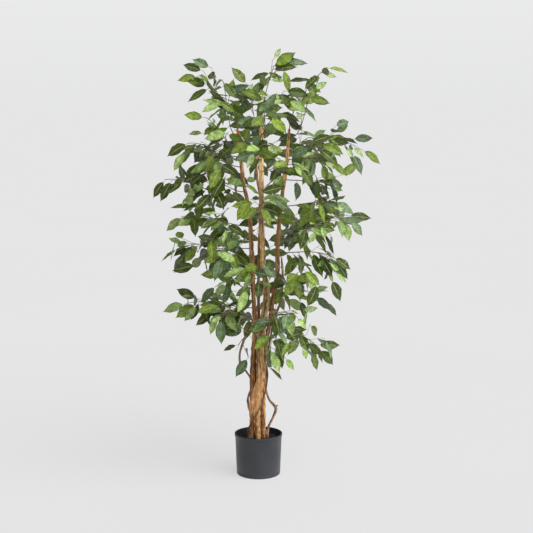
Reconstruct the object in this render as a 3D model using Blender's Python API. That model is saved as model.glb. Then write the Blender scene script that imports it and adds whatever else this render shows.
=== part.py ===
"""Artificial ficus tree, 1.5 m tall, in a plain nursery pot.

Real wood stems and thin lianas twist round each other and stand in a poured filling in the pot.
Wrapped wire branches fork into twigs and carry fabric leaves on short stalks; each is glued
into the side, or into the cut top, of a stem. Metres, +Z up, origin at the centre of the
pot's underside, -Y towards the viewer.
"""

import math
import random

import bmesh
import bpy
import numpy as np
from mathutils import Vector
from mathutils.bvhtree import BVHTree

# Pot and filling
POT_HEIGHT = 0.148
POT_RIM_RADIUS = 0.0850
POT_BASE_RADIUS = 0.0775
POT_WALL = 0.0024
POT_FLOOR = 0.0035
POT_SIDES = 28
LIP_HEIGHT = 0.0085
LIP_STEP = 0.0021
FOOT_ROUND = 0.0040
RIM_ROUND = 0.0008
FILLING_TOP = 0.1305
FILLING_EDGE_DROP = 0.0035
# The filling is level out to this share of the pot's inner radius, then falls to its edge
FILLING_LEVEL = 0.60

# Fits between touching pieces
TOUCH_GAP = 0.0003
HOLE_GAP = 0.0004
STEM_GAP = 0.0016

# Wood
STEM_FOOT = 0.045
RING_SPACING = 0.038
PRESS_ROUNDS = 200
PRESS_STEP = 1.3
UP = np.array([0.0, 0.0, 1.0])

# Each stem and liana: sides of its section, then x, y, z and radius down its length.
WOOD = {
    "stem_left": (7, [
        (-0.071, 0.010, 1.222, 0.0055), (-0.064, 0.008, 1.180, 0.0065), (-0.058, 0.004, 1.110, 0.0070),
        (-0.052, 0.000, 1.045, 0.0068), (-0.040, -0.002, 0.987, 0.0074), (-0.031, 0.000, 0.925, 0.0070),
        (-0.025, 0.004, 0.844, 0.0072), (-0.021, 0.008, 0.755, 0.0078), (-0.018, 0.006, 0.660, 0.0075),
        (-0.013, 0.003, 0.590, 0.0080), (-0.011, 0.001, 0.540, 0.0080), (-0.016, 0.002, 0.480, 0.0082),
        (-0.021, 0.004, 0.420, 0.0085), (-0.022, 0.004, 0.340, 0.0086), (-0.022, 0.000, 0.250, 0.0090),
        (-0.022, 0.000, 0.190, 0.0090), (-0.023, 0.000, 0.131, 0.0092)]),
    "stem_middle": (8, [
        (0.011, -0.004, 1.250, 0.0066), (0.011, -0.004, 1.190, 0.0072), (0.012, -0.004, 1.148, 0.0084),
        (0.010, -0.004, 1.110, 0.0076), (0.010, -0.004, 1.050, 0.0080), (0.011, -0.004, 0.966, 0.0084),
        (0.010, -0.004, 0.903, 0.0098), (0.012, -0.004, 0.860, 0.0088), (0.016, -0.004, 0.755, 0.0094),
        (0.025, -0.004, 0.700, 0.0102), (0.028, -0.006, 0.650, 0.0106), (0.023, -0.008, 0.600, 0.0110),
        (0.012, -0.010, 0.520, 0.0122), (0.006, -0.012, 0.450, 0.0135), (0.005, -0.014, 0.400, 0.0150),
        (0.006, -0.014, 0.360, 0.0142), (0.002, -0.014, 0.310, 0.0134), (-0.005, -0.014, 0.270, 0.0132),
        (-0.005, -0.014, 0.210, 0.0108), (-0.003, -0.012, 0.131, 0.0096)]),
    "stem_right": (7, [
        (0.108, 0.006, 1.225, 0.0042), (0.104, 0.006, 1.187, 0.0050), (0.098, 0.006, 1.105, 0.0060),
        (0.092, 0.006, 1.060, 0.0066), (0.081, 0.006, 0.977, 0.0066), (0.075, 0.006, 0.940, 0.0072),
        (0.070, 0.006, 0.860, 0.0068), (0.067, 0.006, 0.790, 0.0070), (0.068, 0.006, 0.750, 0.0076),
        (0.063, 0.006, 0.700, 0.0070), (0.054, 0.008, 0.650, 0.0078), (0.045, 0.010, 0.589, 0.0072),
        (0.038, 0.014, 0.528, 0.0076), (0.025, 0.018, 0.449, 0.0080), (0.016, 0.020, 0.341, 0.0085),
        (0.014, 0.014, 0.264, 0.0090), (0.016, 0.006, 0.213, 0.0092), (0.017, 0.004, 0.131, 0.0092)]),
    "stem_back": (6, [
        (-0.008, 0.018, 1.130, 0.0035), (-0.002, 0.020, 1.040, 0.0045), (0.014, 0.020, 0.960, 0.0048),
        (0.004, 0.020, 0.850, 0.0050), (0.003, 0.020, 0.760, 0.0056), (0.001, 0.020, 0.690, 0.0052),
        (0.001, 0.022, 0.600, 0.0056), (0.002, 0.026, 0.500, 0.0058), (-0.001, 0.028, 0.400, 0.0062),
        (-0.004, 0.026, 0.300, 0.0062), (-0.004, 0.022, 0.200, 0.0062), (-0.004, 0.022, 0.131, 0.0062)]),
    "liana_left": (6, [
        (0.006, 0.034, 0.640, 0.0026), (-0.009, 0.028, 0.580, 0.0034), (-0.026, 0.016, 0.538, 0.0038),
        (-0.041, 0.008, 0.507, 0.0036), (-0.053, 0.004, 0.478, 0.0040), (-0.063, 0.001, 0.450, 0.0036),
        (-0.068, 0.000, 0.418, 0.0038), (-0.063, 0.002, 0.398, 0.0042), (-0.054, 0.006, 0.381, 0.0038),
        (-0.041, 0.013, 0.366, 0.0036), (-0.031, 0.023, 0.348, 0.0038), (-0.026, 0.030, 0.325, 0.0034),
        (-0.027, 0.026, 0.302, 0.0036), (-0.035, 0.015, 0.282, 0.0038), (-0.038, 0.008, 0.260, 0.0036),
        (-0.034, 0.016, 0.235, 0.0036), (-0.024, 0.026, 0.200, 0.0038), (-0.020, 0.028, 0.131, 0.0038)]),
    "liana_right": (6, [
        (0.081, 0.012, 0.778, 0.0024), (0.084, 0.006, 0.745, 0.0036), (0.086, 0.001, 0.706, 0.0040),
        (0.082, 0.000, 0.655, 0.0038), (0.078, 0.000, 0.610, 0.0042), (0.061, 0.003, 0.582, 0.0044),
        (0.050, 0.006, 0.540, 0.0040), (0.040, 0.018, 0.480, 0.0038), (0.034, 0.034, 0.420, 0.0038),
        (0.029, 0.036, 0.350, 0.0038), (0.027, 0.024, 0.302, 0.0040), (0.034, 0.008, 0.274, 0.0040),
        (0.050, 0.000, 0.258, 0.0042), (0.062, -0.003, 0.238, 0.0056), (0.057, -0.003, 0.214, 0.0042),
        (0.042, 0.000, 0.187, 0.0042), (0.034, 0.000, 0.160, 0.0042), (0.032, 0.001, 0.131, 0.0042)]),
    "vine": (5, [
        (0.006, 0.036, 0.430, 0.0022), (0.021, 0.030, 0.392, 0.0028), (0.030, 0.012, 0.356, 0.0030),
        (0.028, -0.008, 0.322, 0.0030), (0.022, -0.022, 0.294, 0.0030), (0.013, -0.031, 0.268, 0.0030),
        (0.000, -0.034, 0.236, 0.0031), (-0.016, -0.030, 0.206, 0.0030), (-0.032, -0.017, 0.175, 0.0030),
        (-0.038, -0.008, 0.150, 0.0031), (-0.038, -0.006, 0.131, 0.0032)]),
}

# Each branch: its stem, the height it leaves it, and the tip of its wire and then of each twig
# as x, y, z and the heading of the end leaf, in degrees up from +X in the frontal plane.
BRANCHES = {
    "branch_top_spire": ("stem_middle", 1.30, [
        (0.055, -0.02, 1.440, 35), (0.050, 0.02, 1.460, 55), (0.095, 0.00, 1.450, 5),
        (0.085, -0.06, 1.430, -70)]),
    "branch_top_right": ("stem_right", 1.30, [
        (0.235, 0.02, 1.435, -5), (0.155, -0.03, 1.355, 50), (0.220, 0.06, 1.420, -15)]),
    "branch_top_right_low": ("stem_right", 1.195, [
        (0.185, -0.07, 1.355, 35), (0.165, -0.10, 1.335, -15), (0.145, -0.02, 1.310, -40)]),
    "branch_top_mid": ("stem_middle", 1.235, [
        (0.090, -0.08, 1.355, -5), (0.100, -0.12, 1.325, -30), (0.035, -0.05, 1.325, -130)]),
    "branch_top_left_far": ("stem_left", 1.30, [
        (-0.205, 0.03, 1.405, -175), (-0.190, 0.06, 1.425, 160), (-0.170, -0.01, 1.365, -150),
        (-0.160, 0.02, 1.435, 155)]),
    "branch_top_left_near": ("stem_left", 1.200, [
        (-0.120, -0.10, 1.390, -50), (-0.135, -0.14, 1.325, -35), (-0.090, -0.04, 1.375, -15)]),
    "branch_top_centre_left": ("stem_middle", 1.215, [
        (-0.040, 0.06, 1.380, 130), (-0.020, 0.10, 1.340, 50), (-0.055, 0.04, 1.330, -140)]),
    "branch_top_back": ("stem_middle", 1.190, [
        (0.015, 0.18, 1.365, 60), (0.060, 0.20, 1.345, -20), (-0.030, 0.16, 1.325, -130)]),
    "branch_top_front": ("stem_middle", 1.205, [
        (0.015, -0.15, 1.285, -30), (0.040, -0.17, 1.270, -45), (-0.010, -0.12, 1.265, -145)]),
    "branch_left_high": ("stem_left", 1.165, [
        (-0.180, -0.04, 1.265, 170), (-0.185, -0.02, 1.210, 175), (-0.100, -0.10, 1.215, -170)]),
    "branch_left_high_out": ("stem_left", 1.130, [
        (-0.245, 0.03, 1.175, -155), (-0.250, 0.00, 1.150, -125), (-0.200, 0.06, 1.180, -115),
        (-0.155, 0.00, 1.165, -140)]),
    "branch_left_high_front": ("stem_left", 1.095, [
        (-0.170, -0.14, 1.125, -135), (-0.150, -0.10, 1.150, -115), (-0.120, -0.17, 1.105, -120)]),
    "branch_left_up_mid": ("stem_left", 0.980, [
        (-0.325, 0.02, 1.050, -130), (-0.300, -0.03, 1.050, -120), (-0.260, 0.04, 1.070, -125),
        (-0.190, -0.02, 1.080, -155)]),
    "branch_left_up_front": ("stem_left", 1.010, [
        (-0.180, -0.12, 1.055, -130), (-0.155, -0.09, 1.060, -105), (-0.105, -0.16, 1.075, -125)]),
    "branch_back_left_high": ("stem_left", 1.060, [
        (-0.165, 0.20, 1.145, -150), (-0.130, 0.24, 1.180, 130), (-0.190, 0.16, 1.095, -155)]),
    "branch_left_mid": ("stem_left", 0.890, [
        (-0.265, -0.03, 0.925, -140), (-0.225, 0.00, 0.960, -180), (-0.225, -0.06, 0.935, -85)]),
    "branch_left_mid_front": ("stem_left", 0.850, [
        (-0.145, -0.15, 0.930, -150), (-0.125, -0.19, 0.950, 170), (-0.100, -0.20, 0.905, -110)]),
    "branch_left_low_out": ("stem_left", 0.810, [
        (-0.285, 0.05, 0.805, -145), (-0.270, 0.08, 0.815, 150), (-0.255, 0.02, 0.795, -125),
        (-0.220, 0.00, 0.750, -175)]),
    "branch_left_low_front": ("stem_left", 0.780, [
        (-0.150, -0.15, 0.825, -125), (-0.120, -0.18, 0.805, -110), (-0.090, -0.12, 0.820, -75)]),
    "branch_left_low_mid": ("stem_left", 0.660, [
        (-0.125, -0.06, 0.730, -180), (-0.105, -0.10, 0.705, -130), (-0.150, -0.02, 0.680, -135)]),
    "branch_back_left_mid": ("stem_left", 0.730, [
        (-0.140, 0.22, 0.825, -160), (-0.110, 0.25, 0.855, 115), (-0.170, 0.18, 0.775, -150)]),
    "branch_left_bottom_out": ("stem_left", 0.600, [
        (-0.260, 0.02, 0.610, -165), (-0.220, 0.05, 0.625, 155), (-0.215, -0.03, 0.615, -130)]),
    "branch_left_bottom_front": ("stem_left", 0.570, [
        (-0.140, -0.09, 0.590, -120), (-0.130, -0.12, 0.630, -170), (-0.160, -0.05, 0.595, -145),
        (-0.125, -0.14, 0.590, -95)]),
    "branch_left_bottom_in": ("stem_left", 0.520, [
        (-0.070, -0.04, 0.475, -165), (-0.055, -0.08, 0.545, 180), (-0.035, -0.03, 0.425, -125)]),
    "branch_back_left_low": ("stem_back", 0.550, [
        (-0.105, 0.18, 0.555, -160), (-0.135, 0.22, 0.590, 150), (-0.065, 0.16, 0.520, -105)]),
    "branch_right_high_out": ("stem_right", 1.150, [
        (0.325, 0.00, 1.190, 5), (0.265, 0.04, 1.210, 30), (0.325, -0.04, 1.140, -60),
        (0.365, 0.02, 1.150, -30)]),
    "branch_right_high_front": ("stem_right", 1.120, [
        (0.245, -0.12, 1.115, -35), (0.200, -0.15, 1.165, -35), (0.210, -0.09, 1.180, -20),
        (0.175, -0.12, 1.185, 20)]),
    "branch_right_high_mid": ("stem_middle", 1.080, [
        (0.140, -0.18, 1.105, -55), (0.105, -0.20, 1.135, 30), (0.085, -0.16, 1.085, -115)]),
    "branch_back_right_high": ("stem_right", 1.135, [
        (0.195, 0.20, 1.190, 30), (0.230, 0.22, 1.145, -40), (0.145, 0.18, 1.210, 120)]),
    "branch_right_up_mid": ("stem_right", 1.050, [
        (0.250, 0.05, 1.015, -5), (0.230, 0.08, 1.055, -25), (0.210, 0.02, 0.995, -55)]),
    "branch_right_up_front": ("stem_right", 0.960, [
        (0.245, -0.10, 0.970, -10), (0.260, -0.07, 0.980, -25), (0.200, -0.14, 0.990, -70)]),
    "branch_right_mid": ("stem_right", 0.850, [
        (0.315, 0.02, 0.925, -5), (0.320, -0.02, 0.910, -45), (0.305, 0.06, 0.900, -70)]),
    "branch_right_mid_front": ("stem_right", 0.820, [
        (0.210, -0.16, 0.915, -70), (0.205, -0.12, 0.890, -125), (0.160, -0.20, 0.910, -105)]),
    "branch_back_right_mid": ("stem_right", 0.835, [
        (0.170, 0.22, 0.890, -20), (0.205, 0.24, 0.940, 30), (0.140, 0.18, 0.850, -110)]),
    "branch_right_low_out": ("stem_right", 0.795, [
        (0.260, -0.04, 0.785, -30), (0.270, 0.00, 0.765, -50), (0.260, -0.08, 0.740, -40),
        (0.255, -0.02, 0.705, -65)]),
    "branch_right_low_front": ("stem_right", 0.670, [
        (0.135, -0.14, 0.735, -125), (0.155, -0.17, 0.760, -45), (0.205, -0.12, 0.705, -110)]),
    "branch_right_low_back": ("stem_right", 0.640, [
        (0.195, 0.10, 0.640, 20), (0.230, 0.14, 0.605, -45), (0.150, 0.08, 0.615, -70)]),
    "branch_right_bottom_front": ("stem_middle", 0.570, [
        (0.100, -0.12, 0.605, -75), (0.130, -0.14, 0.595, -50), (0.150, -0.08, 0.605, 10),
        (0.040, -0.10, 0.575, -150)]),
    "branch_right_bottom_out": ("stem_right", 0.540, [
        (0.220, 0.02, 0.445, -45), (0.210, 0.05, 0.455, 0), (0.185, -0.02, 0.445, -65),
        (0.155, -0.05, 0.485, -75)]),
    "branch_right_bottom_in": ("stem_middle", 0.470, [
        (0.060, -0.10, 0.515, -70), (0.095, -0.06, 0.435, -55), (0.040, -0.12, 0.475, -65),
        (0.045, -0.14, 0.535, -145)]),
    "branch_back_right_low": ("stem_back", 0.668, [
        (0.100, 0.20, 0.600, -30), (0.140, 0.22, 0.645, 25), (0.065, 0.18, 0.575, -105)]),
    "branch_front_high": ("stem_middle", 1.120, [
        (-0.010, -0.20, 1.160, -115), (0.025, -0.22, 1.180, -35), (-0.035, -0.18, 1.190, -145)]),
    "branch_front_mid": ("stem_middle", 0.930, [
        (0.010, -0.24, 0.980, -60), (-0.025, -0.22, 1.000, -125), (0.045, -0.20, 1.010, -35)]),
    "branch_front_low": ("stem_middle", 0.690, [
        (-0.025, -0.20, 0.765, -110), (0.015, -0.23, 0.795, -50), (-0.070, -0.17, 0.785, 160)]),
    "branch_back_high": ("stem_back", 1.090, [
        (0.015, 0.25, 1.145, -45), (-0.030, 0.22, 1.175, 135), (0.065, 0.22, 1.175, 25)]),
    "branch_back_mid": ("stem_back", 0.890, [
        (0.020, 0.28, 0.918, -60), (-0.045, 0.25, 0.940, 135), (0.080, 0.25, 0.945, -40)]),
    "branch_back_low": ("stem_back", 0.680, [
        (0.000, 0.26, 0.765, -110), (0.050, 0.24, 0.790, 25), (-0.050, 0.22, 0.735, -140)]),
}

# Wires, three-sided: radii at butt and tip, and the stations along a wire and along a twig
WIRE_RADII = (0.0020, 0.0015)
TWIG_RADII = (0.0015, 0.0012)
WIRE_STATIONS = (0.0, 0.20, 0.58, 1.0)
TWIG_STATIONS = (0.0, 0.50, 1.0)
# Each is a cubic curve: as shares of its reach, how far it runs on in its first direction, how
# near its tip the second handle is, and how high it arches
WIRE_BEND = (0.28, 0.65, 0.14)
TWIG_BEND = (0.35, 0.60, 0.08)
# A twig forks off this much before the wire's nearest point, inside this stretch of the wire
FORK_LEAD = 0.28
FORK_RANGE = (0.20, 0.86)

# Leaves
LEAF_SPACING = 0.055
FIRST_GAP = 0.75
END_LEAF_SUNK = 0.003
WIRE_BARE = 0.050
TWIG_BARE = 0.024
SIDE_LEAVES_ON_WIRE = 3
SIDE_LEAVES_ON_TWIG = 2
LEAF_LENGTH = (0.062, 0.080)
YOUNG_LENGTH = (0.040, 0.054)
YOUNG_SHARE = 0.22
LEAF_WIDTH_RATIO = (0.45, 0.53)
STALK_LENGTH = (0.009, 0.014)
STALK_SUNK = 0.0003
STALK_HALF_WIDTH = 0.0016
LEAF_KEEL = 0.0012
LEAF_FOLD = (0.08, 0.16)
LEAF_DROOP = (0.06, 0.26)
LEAF_TWIST = 0.4
LEAF_ANGLE = math.radians(52)
LEAF_SAG = 0.40
LEAF_TRIES = 40
LEAF_CLEARANCE = 0.0008
# A leaf that finds no room is turned by up to this much more at each try
TRY_STEP = 0.07
# Leaves further back than this face backwards, the others forwards
BACK_FROM = 0.09
# Blade outline: how far along the blade, and its width there as a share of the full width
BLADE_EDGE = ((0.22, 0.80), (0.50, 1.00), (0.79, 0.54))
# How far along the blade its keel point lies
BLADE_KEEL = 0.45


def unit(vector):
    """The vector at length one."""
    return vector / np.linalg.norm(vector)


def finish(name, color, roughness, metallic=0.0):
    """A Principled material of one colour."""
    material = bpy.data.materials.new(name)
    material.use_nodes = True
    shader = material.node_tree.nodes["Principled BSDF"]
    shader.inputs["Base Color"].default_value = (*color, 1.0)
    shader.inputs["Roughness"].default_value = roughness
    shader.inputs["Metallic"].default_value = metallic
    return material


def solid(name, points, faces, material):
    """A named object with its faces pointing outwards."""
    mesh = bpy.data.meshes.new(name)
    mesh.from_pydata([tuple(map(float, p)) for p in points], [], faces)
    editable = bmesh.new()
    editable.from_mesh(mesh)
    bmesh.ops.recalc_face_normals(editable, faces=editable.faces)
    editable.to_mesh(mesh)
    editable.free()
    piece = bpy.data.objects.new(name, mesh)
    piece.data.materials.append(material)
    bpy.context.scene.collection.objects.link(piece)
    return piece


def triangles(faces):
    """The faces cut into triangles from their first corner."""
    return [(face[0], b, c) for face in faces for b, c in zip(face[1:], face[2:])]


def turned(profile, sides):
    """Points and faces of a profile (radius, height) turned about Z, closed at radius zero."""
    points, rows, faces = [], [], []
    for radius, height in profile:
        if radius == 0.0:
            rows.append([len(points)] * sides)
            points.append((0.0, 0.0, height))
            continue
        rows.append(list(range(len(points), len(points) + sides)))
        for side in range(sides):
            angle = 2 * math.pi * side / sides
            points.append((radius * math.cos(angle), radius * math.sin(angle), height))
    for lower, upper in zip(rows, rows[1:]):
        for side in range(sides):
            after = (side + 1) % sides
            corners = [lower[side], lower[after], upper[after], upper[side]]
            faces.append(tuple(dict.fromkeys(corners)))
    return points, faces


def tube(centres, radii, sides, lead=None):
    """Points and faces of a many-sided tube along a path, its section carried without twist.

    lead is the direction that its first end faces away from, where that isn't the path's own.
    """
    tangents = np.gradient(centres, axis=0)
    if lead is not None:
        tangents[0] = lead
    tangents /= np.linalg.norm(tangents, axis=1)[:, None]
    across = np.cross(tangents[0], (0.0, 1.0, 0.0) if abs(tangents[0][1]) < 0.9 else (1.0, 0.0, 0.0))
    points, faces = [], []
    for centre, tangent, radius in zip(centres, tangents, radii):
        across = unit(across - tangent * np.dot(across, tangent))
        upward = np.cross(tangent, across)
        for side in range(sides):
            angle = 2 * math.pi * side / sides
            points.append(centre + radius * (across * math.cos(angle) + upward * math.sin(angle)))
    for ring in range(len(centres) - 1):
        for side in range(sides):
            after = (side + 1) % sides
            low, high = ring * sides, (ring + 1) * sides
            faces.append((low + side, low + after, high + after, high + side))
    faces.append(tuple(range(sides)))
    faces.append(tuple(range(len(points) - sides, len(points))))
    return points, faces


def through(rows, spacing):
    """A smooth curve (Catmull-Rom) through rows of x, y, z and radius, at about even spacing."""
    rows = np.array(rows, float)
    ends = np.vstack([2 * rows[0] - rows[1], rows, 2 * rows[-1] - rows[-2]])
    fine = []
    for p0, p1, p2, p3 in zip(ends, ends[1:], ends[2:], ends[3:]):
        t = np.linspace(0.0, 1.0, 16, endpoint=False)[:, None]
        fine.append(0.5 * (2 * p1 + (p2 - p0) * t + (2 * p0 - 5 * p1 + 4 * p2 - p3) * t**2
                           + (3 * p1 - p0 - 3 * p2 + p3) * t**3))
    fine = np.vstack(fine + [rows[-1:]])
    length = np.r_[0.0, np.cumsum(np.linalg.norm(np.diff(fine[:, :3], axis=0), axis=1))]
    even = np.linspace(0.0, length[-1], int(round(length[-1] / spacing)) + 1)
    return np.column_stack([np.interp(even, length, fine[:, column]) for column in range(4)])


def press_apart(routes):
    """Moves the routes sideways until no two stems are nearer than their radii and a small gap."""
    splits = {}
    for name, route in routes.items():
        stations = np.arange(len(route))
        dense = np.linspace(0, len(route) - 1, 4 * (len(route) - 1) + 1)
        splits[name] = np.clip(1 - np.abs(dense[:, None] - stations), 0, None)
    names = list(routes)
    for _ in range(PRESS_ROUNDS):
        worst = 0.0
        for index, one in enumerate(names):
            for other in names[index + 1:]:
                a, b = splits[one] @ routes[one], splits[other] @ routes[other]
                apart = a[:, None, :3] - b[None, :, :3]
                distance = np.linalg.norm(apart, axis=2)
                need = a[:, None, 3] + b[None, :, 3] + STEM_GAP
                short = np.clip(need - distance, 0, None)
                if short.max() <= 0:
                    continue
                worst = max(worst, short.max())
                share = b[None, :, 3] / (a[:, None, 3] + b[None, :, 3])
                level = apart * (1, 1, 0)
                level /= np.maximum(np.linalg.norm(level, axis=2), 1e-6)[:, :, None]
                push = level * short[:, :, None]
                for name, axis, weight in ((one, 1, share), (other, 0, share - 1)):
                    moved = push * weight[:, :, None]
                    nearest = short.argmax(axis=axis)
                    picked = np.take_along_axis(moved, np.expand_dims(nearest, (axis, 2)), axis)
                    picked = picked.squeeze(axis)
                    spread = splits[name].T @ picked / splits[name].sum(axis=0)[:, None]
                    routes[name][:, :3] += PRESS_STEP * spread
        if worst < 1e-5:
            break
    return routes


def wood_routes():
    """Every stem's stations from its top to its foot in the filling, where it stands upright."""
    routes = {name: through(rows, RING_SPACING) for name, (_, rows) in WOOD.items()}
    routes = press_apart(routes)
    for name, route in routes.items():
        foot = route[-1].copy()
        foot[2] = STEM_FOOT
        routes[name] = np.vstack([route, foot])
    return routes


def arched(start, lean, goal, bend, t):
    """Points at the parameters t of a cubic curve that leaves along lean and arches to its goal."""
    run_on, near, arch = bend
    reach = np.linalg.norm(goal - start)
    first = start + lean * run_on * reach
    second = (1 - near) * start + near * goal + UP * arch * reach
    t = np.asarray(t, float)[:, None]
    return (1 - t)**3 * start + 3 * (1 - t)**2 * t * first + 3 * (1 - t) * t**2 * second + t**3 * goal


def butt_on_stem(route, surface, height, goal):
    """Where a branch meets its stem, just off the surface, and the direction it leaves in."""
    if height > route[0, 2]:
        return route[0, :3] + UP * TOUCH_GAP, UP
    centre = np.array([np.interp(height, route[::-1, 2], route[::-1, axis]) for axis in range(3)])
    level = unit((goal - centre) * (1, 1, 0))
    spot, normal, _, _ = surface.ray_cast(Vector(centre), Vector(level))
    return np.array(spot) + np.array(normal) * TOUCH_GAP, np.array(normal)


def branch_wires(start, leave, tips):
    """The main wire's stations, then each twig's, with their radii and first directions.

    The wire leaves the stem square to its surface and arches to its tip. A twig forks off
    somewhat before the wire's nearest point to the twig's tip.
    """
    main = arched(start, leave, tips[0], WIRE_BEND, WIRE_STATIONS)
    wires = [(main, np.interp(WIRE_STATIONS, (0, 1), WIRE_RADII), 3, leave)]
    steps = np.linspace(0.0, 1.0, 41)
    along = arched(start, leave, tips[0], WIRE_BEND, steps)
    for tip in tips[1:]:
        nearest = steps[np.linalg.norm(along - tip, axis=1).argmin()]
        fork = float(np.clip(nearest - FORK_LEAD, *FORK_RANGE))
        segment = int(np.searchsorted(WIRE_STATIONS, fork)) - 1
        share = (fork - WIRE_STATIONS[segment]) / (WIRE_STATIONS[segment + 1] - WIRE_STATIONS[segment])
        before, after = main[segment], main[segment + 1]
        root = before + (after - before) * share
        lean = unit(unit(after - before) + unit(tip - root))
        twig = arched(root, lean, tip, TWIG_BEND, TWIG_STATIONS)
        wires.append((twig, np.interp(TWIG_STATIONS, (0, 1), TWIG_RADII), 3, lean))
    return wires


def leaf_points(root, stalk, heading, face, shape, grow=0.0):
    """The points of one leaf: its root, three at the neck, a left and a right edge point at
    each blade station, one keel point under the blade, and the tip.

    The blade bends down from its heading with the square of the way along it, is folded up
    along its midrib, and turns a little about it. grow thickens it all round for a fit test.
    """
    length, width, droop, fold, twist = shape
    face = unit(face - heading * np.dot(face, heading))
    side = np.cross(heading, face)
    neck = root + heading * stalk

    def station(s):
        centre = neck + heading * length * s - face * droop * length * s * s
        turn = twist * s
        level = side * math.cos(turn) + face * math.sin(turn)
        above = face * math.cos(turn) - side * math.sin(turn)
        return centre, level, above

    points = [root - heading * STALK_SUNK]
    points += [neck + side * STALK_HALF_WIDTH, neck - side * STALK_HALF_WIDTH]
    points.append(neck - face * (LEAF_KEEL + grow))
    for s, share in BLADE_EDGE:
        centre, level, above = station(s)
        half = 0.5 * width * share
        raised = above * (fold * half + grow)
        points += [centre + level * (half + grow) + raised, centre - level * (half + grow) + raised]
    centre, _, above = station(BLADE_KEEL)
    points.append(centre - above * (LEAF_KEEL + grow))
    points.append(station(1.0)[0])
    return points


# Corner order in leaf_points: root 0, neck 1 2 3, edges 4 5, 6 7, 8 9, keel 10, tip 11
LEAF_BLADE = (
    (1, 4, 2), (2, 4, 5), (4, 6, 5), (5, 6, 7), (6, 8, 7), (7, 8, 9), (8, 11, 9),
    (3, 10, 1), (1, 10, 4), (4, 10, 6), (6, 10, 8), (8, 10, 11),
    (2, 10, 3), (5, 10, 2), (7, 10, 5), (9, 10, 7), (11, 10, 9))
LEAF_STALK = ((0, 1, 2), (0, 3, 1), (0, 2, 3))
LEAF_CLOSE = ((1, 2, 3),)


class Crowd:
    """What already stands in the crown, for finding a place that is clear of it all."""

    def __init__(self):
        self.bodies = []

    def add(self, points, faces):
        array = np.array(points)
        tree = BVHTree.FromPolygons([tuple(p) for p in points], faces)
        self.bodies.append((array.min(axis=0), array.max(axis=0), tree))

    def clear(self, points, faces):
        array = np.array(points)
        low, high = array.min(axis=0), array.max(axis=0)
        near = [tree for floor, roof, tree in self.bodies if (floor < high).all() and (roof > low).all()]
        if not near:
            return True
        mine = BVHTree.FromPolygons([tuple(p) for p in points], faces)
        return not any(mine.overlap(tree) for tree in near)


def leaf_spots(wires):
    """Where leaves sit: each wire's and twig's end, then alternately to its sides, tip to root."""
    ends, sides = [], []
    for index, (path, _, _, _) in enumerate(wires):
        length = np.r_[0.0, np.cumsum(np.linalg.norm(np.diff(path, axis=0), axis=1))]
        ends.append((index, path[-1] - unit(path[-1] - path[-2]) * END_LEAF_SUNK))
        bare, most = (WIRE_BARE, SIDE_LEAVES_ON_WIRE) if index == 0 else (TWIG_BARE, SIDE_LEAVES_ON_TWIG)
        for count in range(most):
            place = length[-1] - LEAF_SPACING * (count + FIRST_GAP)
            if place < bare:
                break
            segment = int(np.searchsorted(length, place)) - 1
            run = path[segment + 1] - path[segment]
            share = (place - length[segment]) / (length[segment + 1] - length[segment])
            sides.append((index, path[segment] + run * share, unit(run), 1 if (count + index) % 2 else -1))
    return ends, sides


def grow_leaves(name, wires, headings, crowd):
    """The branch's leaves, each turned in small seeded steps until it is clear of everything."""
    draw = random.Random(name)
    ends, sides = leaf_spots(wires)
    places = [(root, None, math.radians(headings[index]), 0) for index, root in ends]
    places += [(root, run, None, hand) for _, root, run, hand in sides]
    leaves = []
    for root, run, angle, hand in places:
        young = draw.random() < YOUNG_SHARE
        length = draw.uniform(*(YOUNG_LENGTH if young else LEAF_LENGTH))
        shape = (length, length * draw.uniform(*LEAF_WIDTH_RATIO), draw.uniform(*LEAF_DROOP),
                 draw.uniform(*LEAF_FOLD), draw.uniform(-LEAF_TWIST, LEAF_TWIST))
        stalk = draw.uniform(*STALK_LENGTH)
        outward = unit(root * (1, 1, 0) + 1e-6)
        if run is None:
            heading = np.array([math.cos(angle), 0.0, math.sin(angle)])
            heading += outward * (0, 1, 0) * draw.uniform(0.0, 0.5)
        else:
            level = unit(np.cross(run, UP) + 1e-6)
            heading = run * math.cos(LEAF_ANGLE) + level * hand * math.sin(LEAF_ANGLE)
            heading = unit(heading) - UP * LEAF_SAG * draw.uniform(0.4, 1.6)
        face = outward * draw.uniform(0.0, 0.6) + UP * draw.uniform(0.1, 0.9)
        away = 1 if root[1] > BACK_FROM else -1
        face += np.array([draw.uniform(-0.4, 0.4), draw.uniform(0.3, 1.4) * away, 0.0])
        for attempt in range(LEAF_TRIES):
            spread = TRY_STEP * attempt
            turn = np.array([draw.uniform(-spread, spread) for _ in range(6)])
            toward = unit(unit(heading) + turn[:3] * (0.45 if run is None else 1.0))
            facing = face + turn[3:] * 1.5
            if np.linalg.norm(np.cross(toward, unit(facing))) < 0.3:
                continue
            test = leaf_points(root, stalk, toward, facing, shape, LEAF_CLEARANCE)
            if crowd.clear(test, LEAF_BLADE + LEAF_CLOSE):
                points = leaf_points(root, stalk, toward, facing, shape)
                crowd.add(points, LEAF_BLADE + LEAF_CLOSE)
                leaves.append(points)
                break
    return leaves


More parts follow.
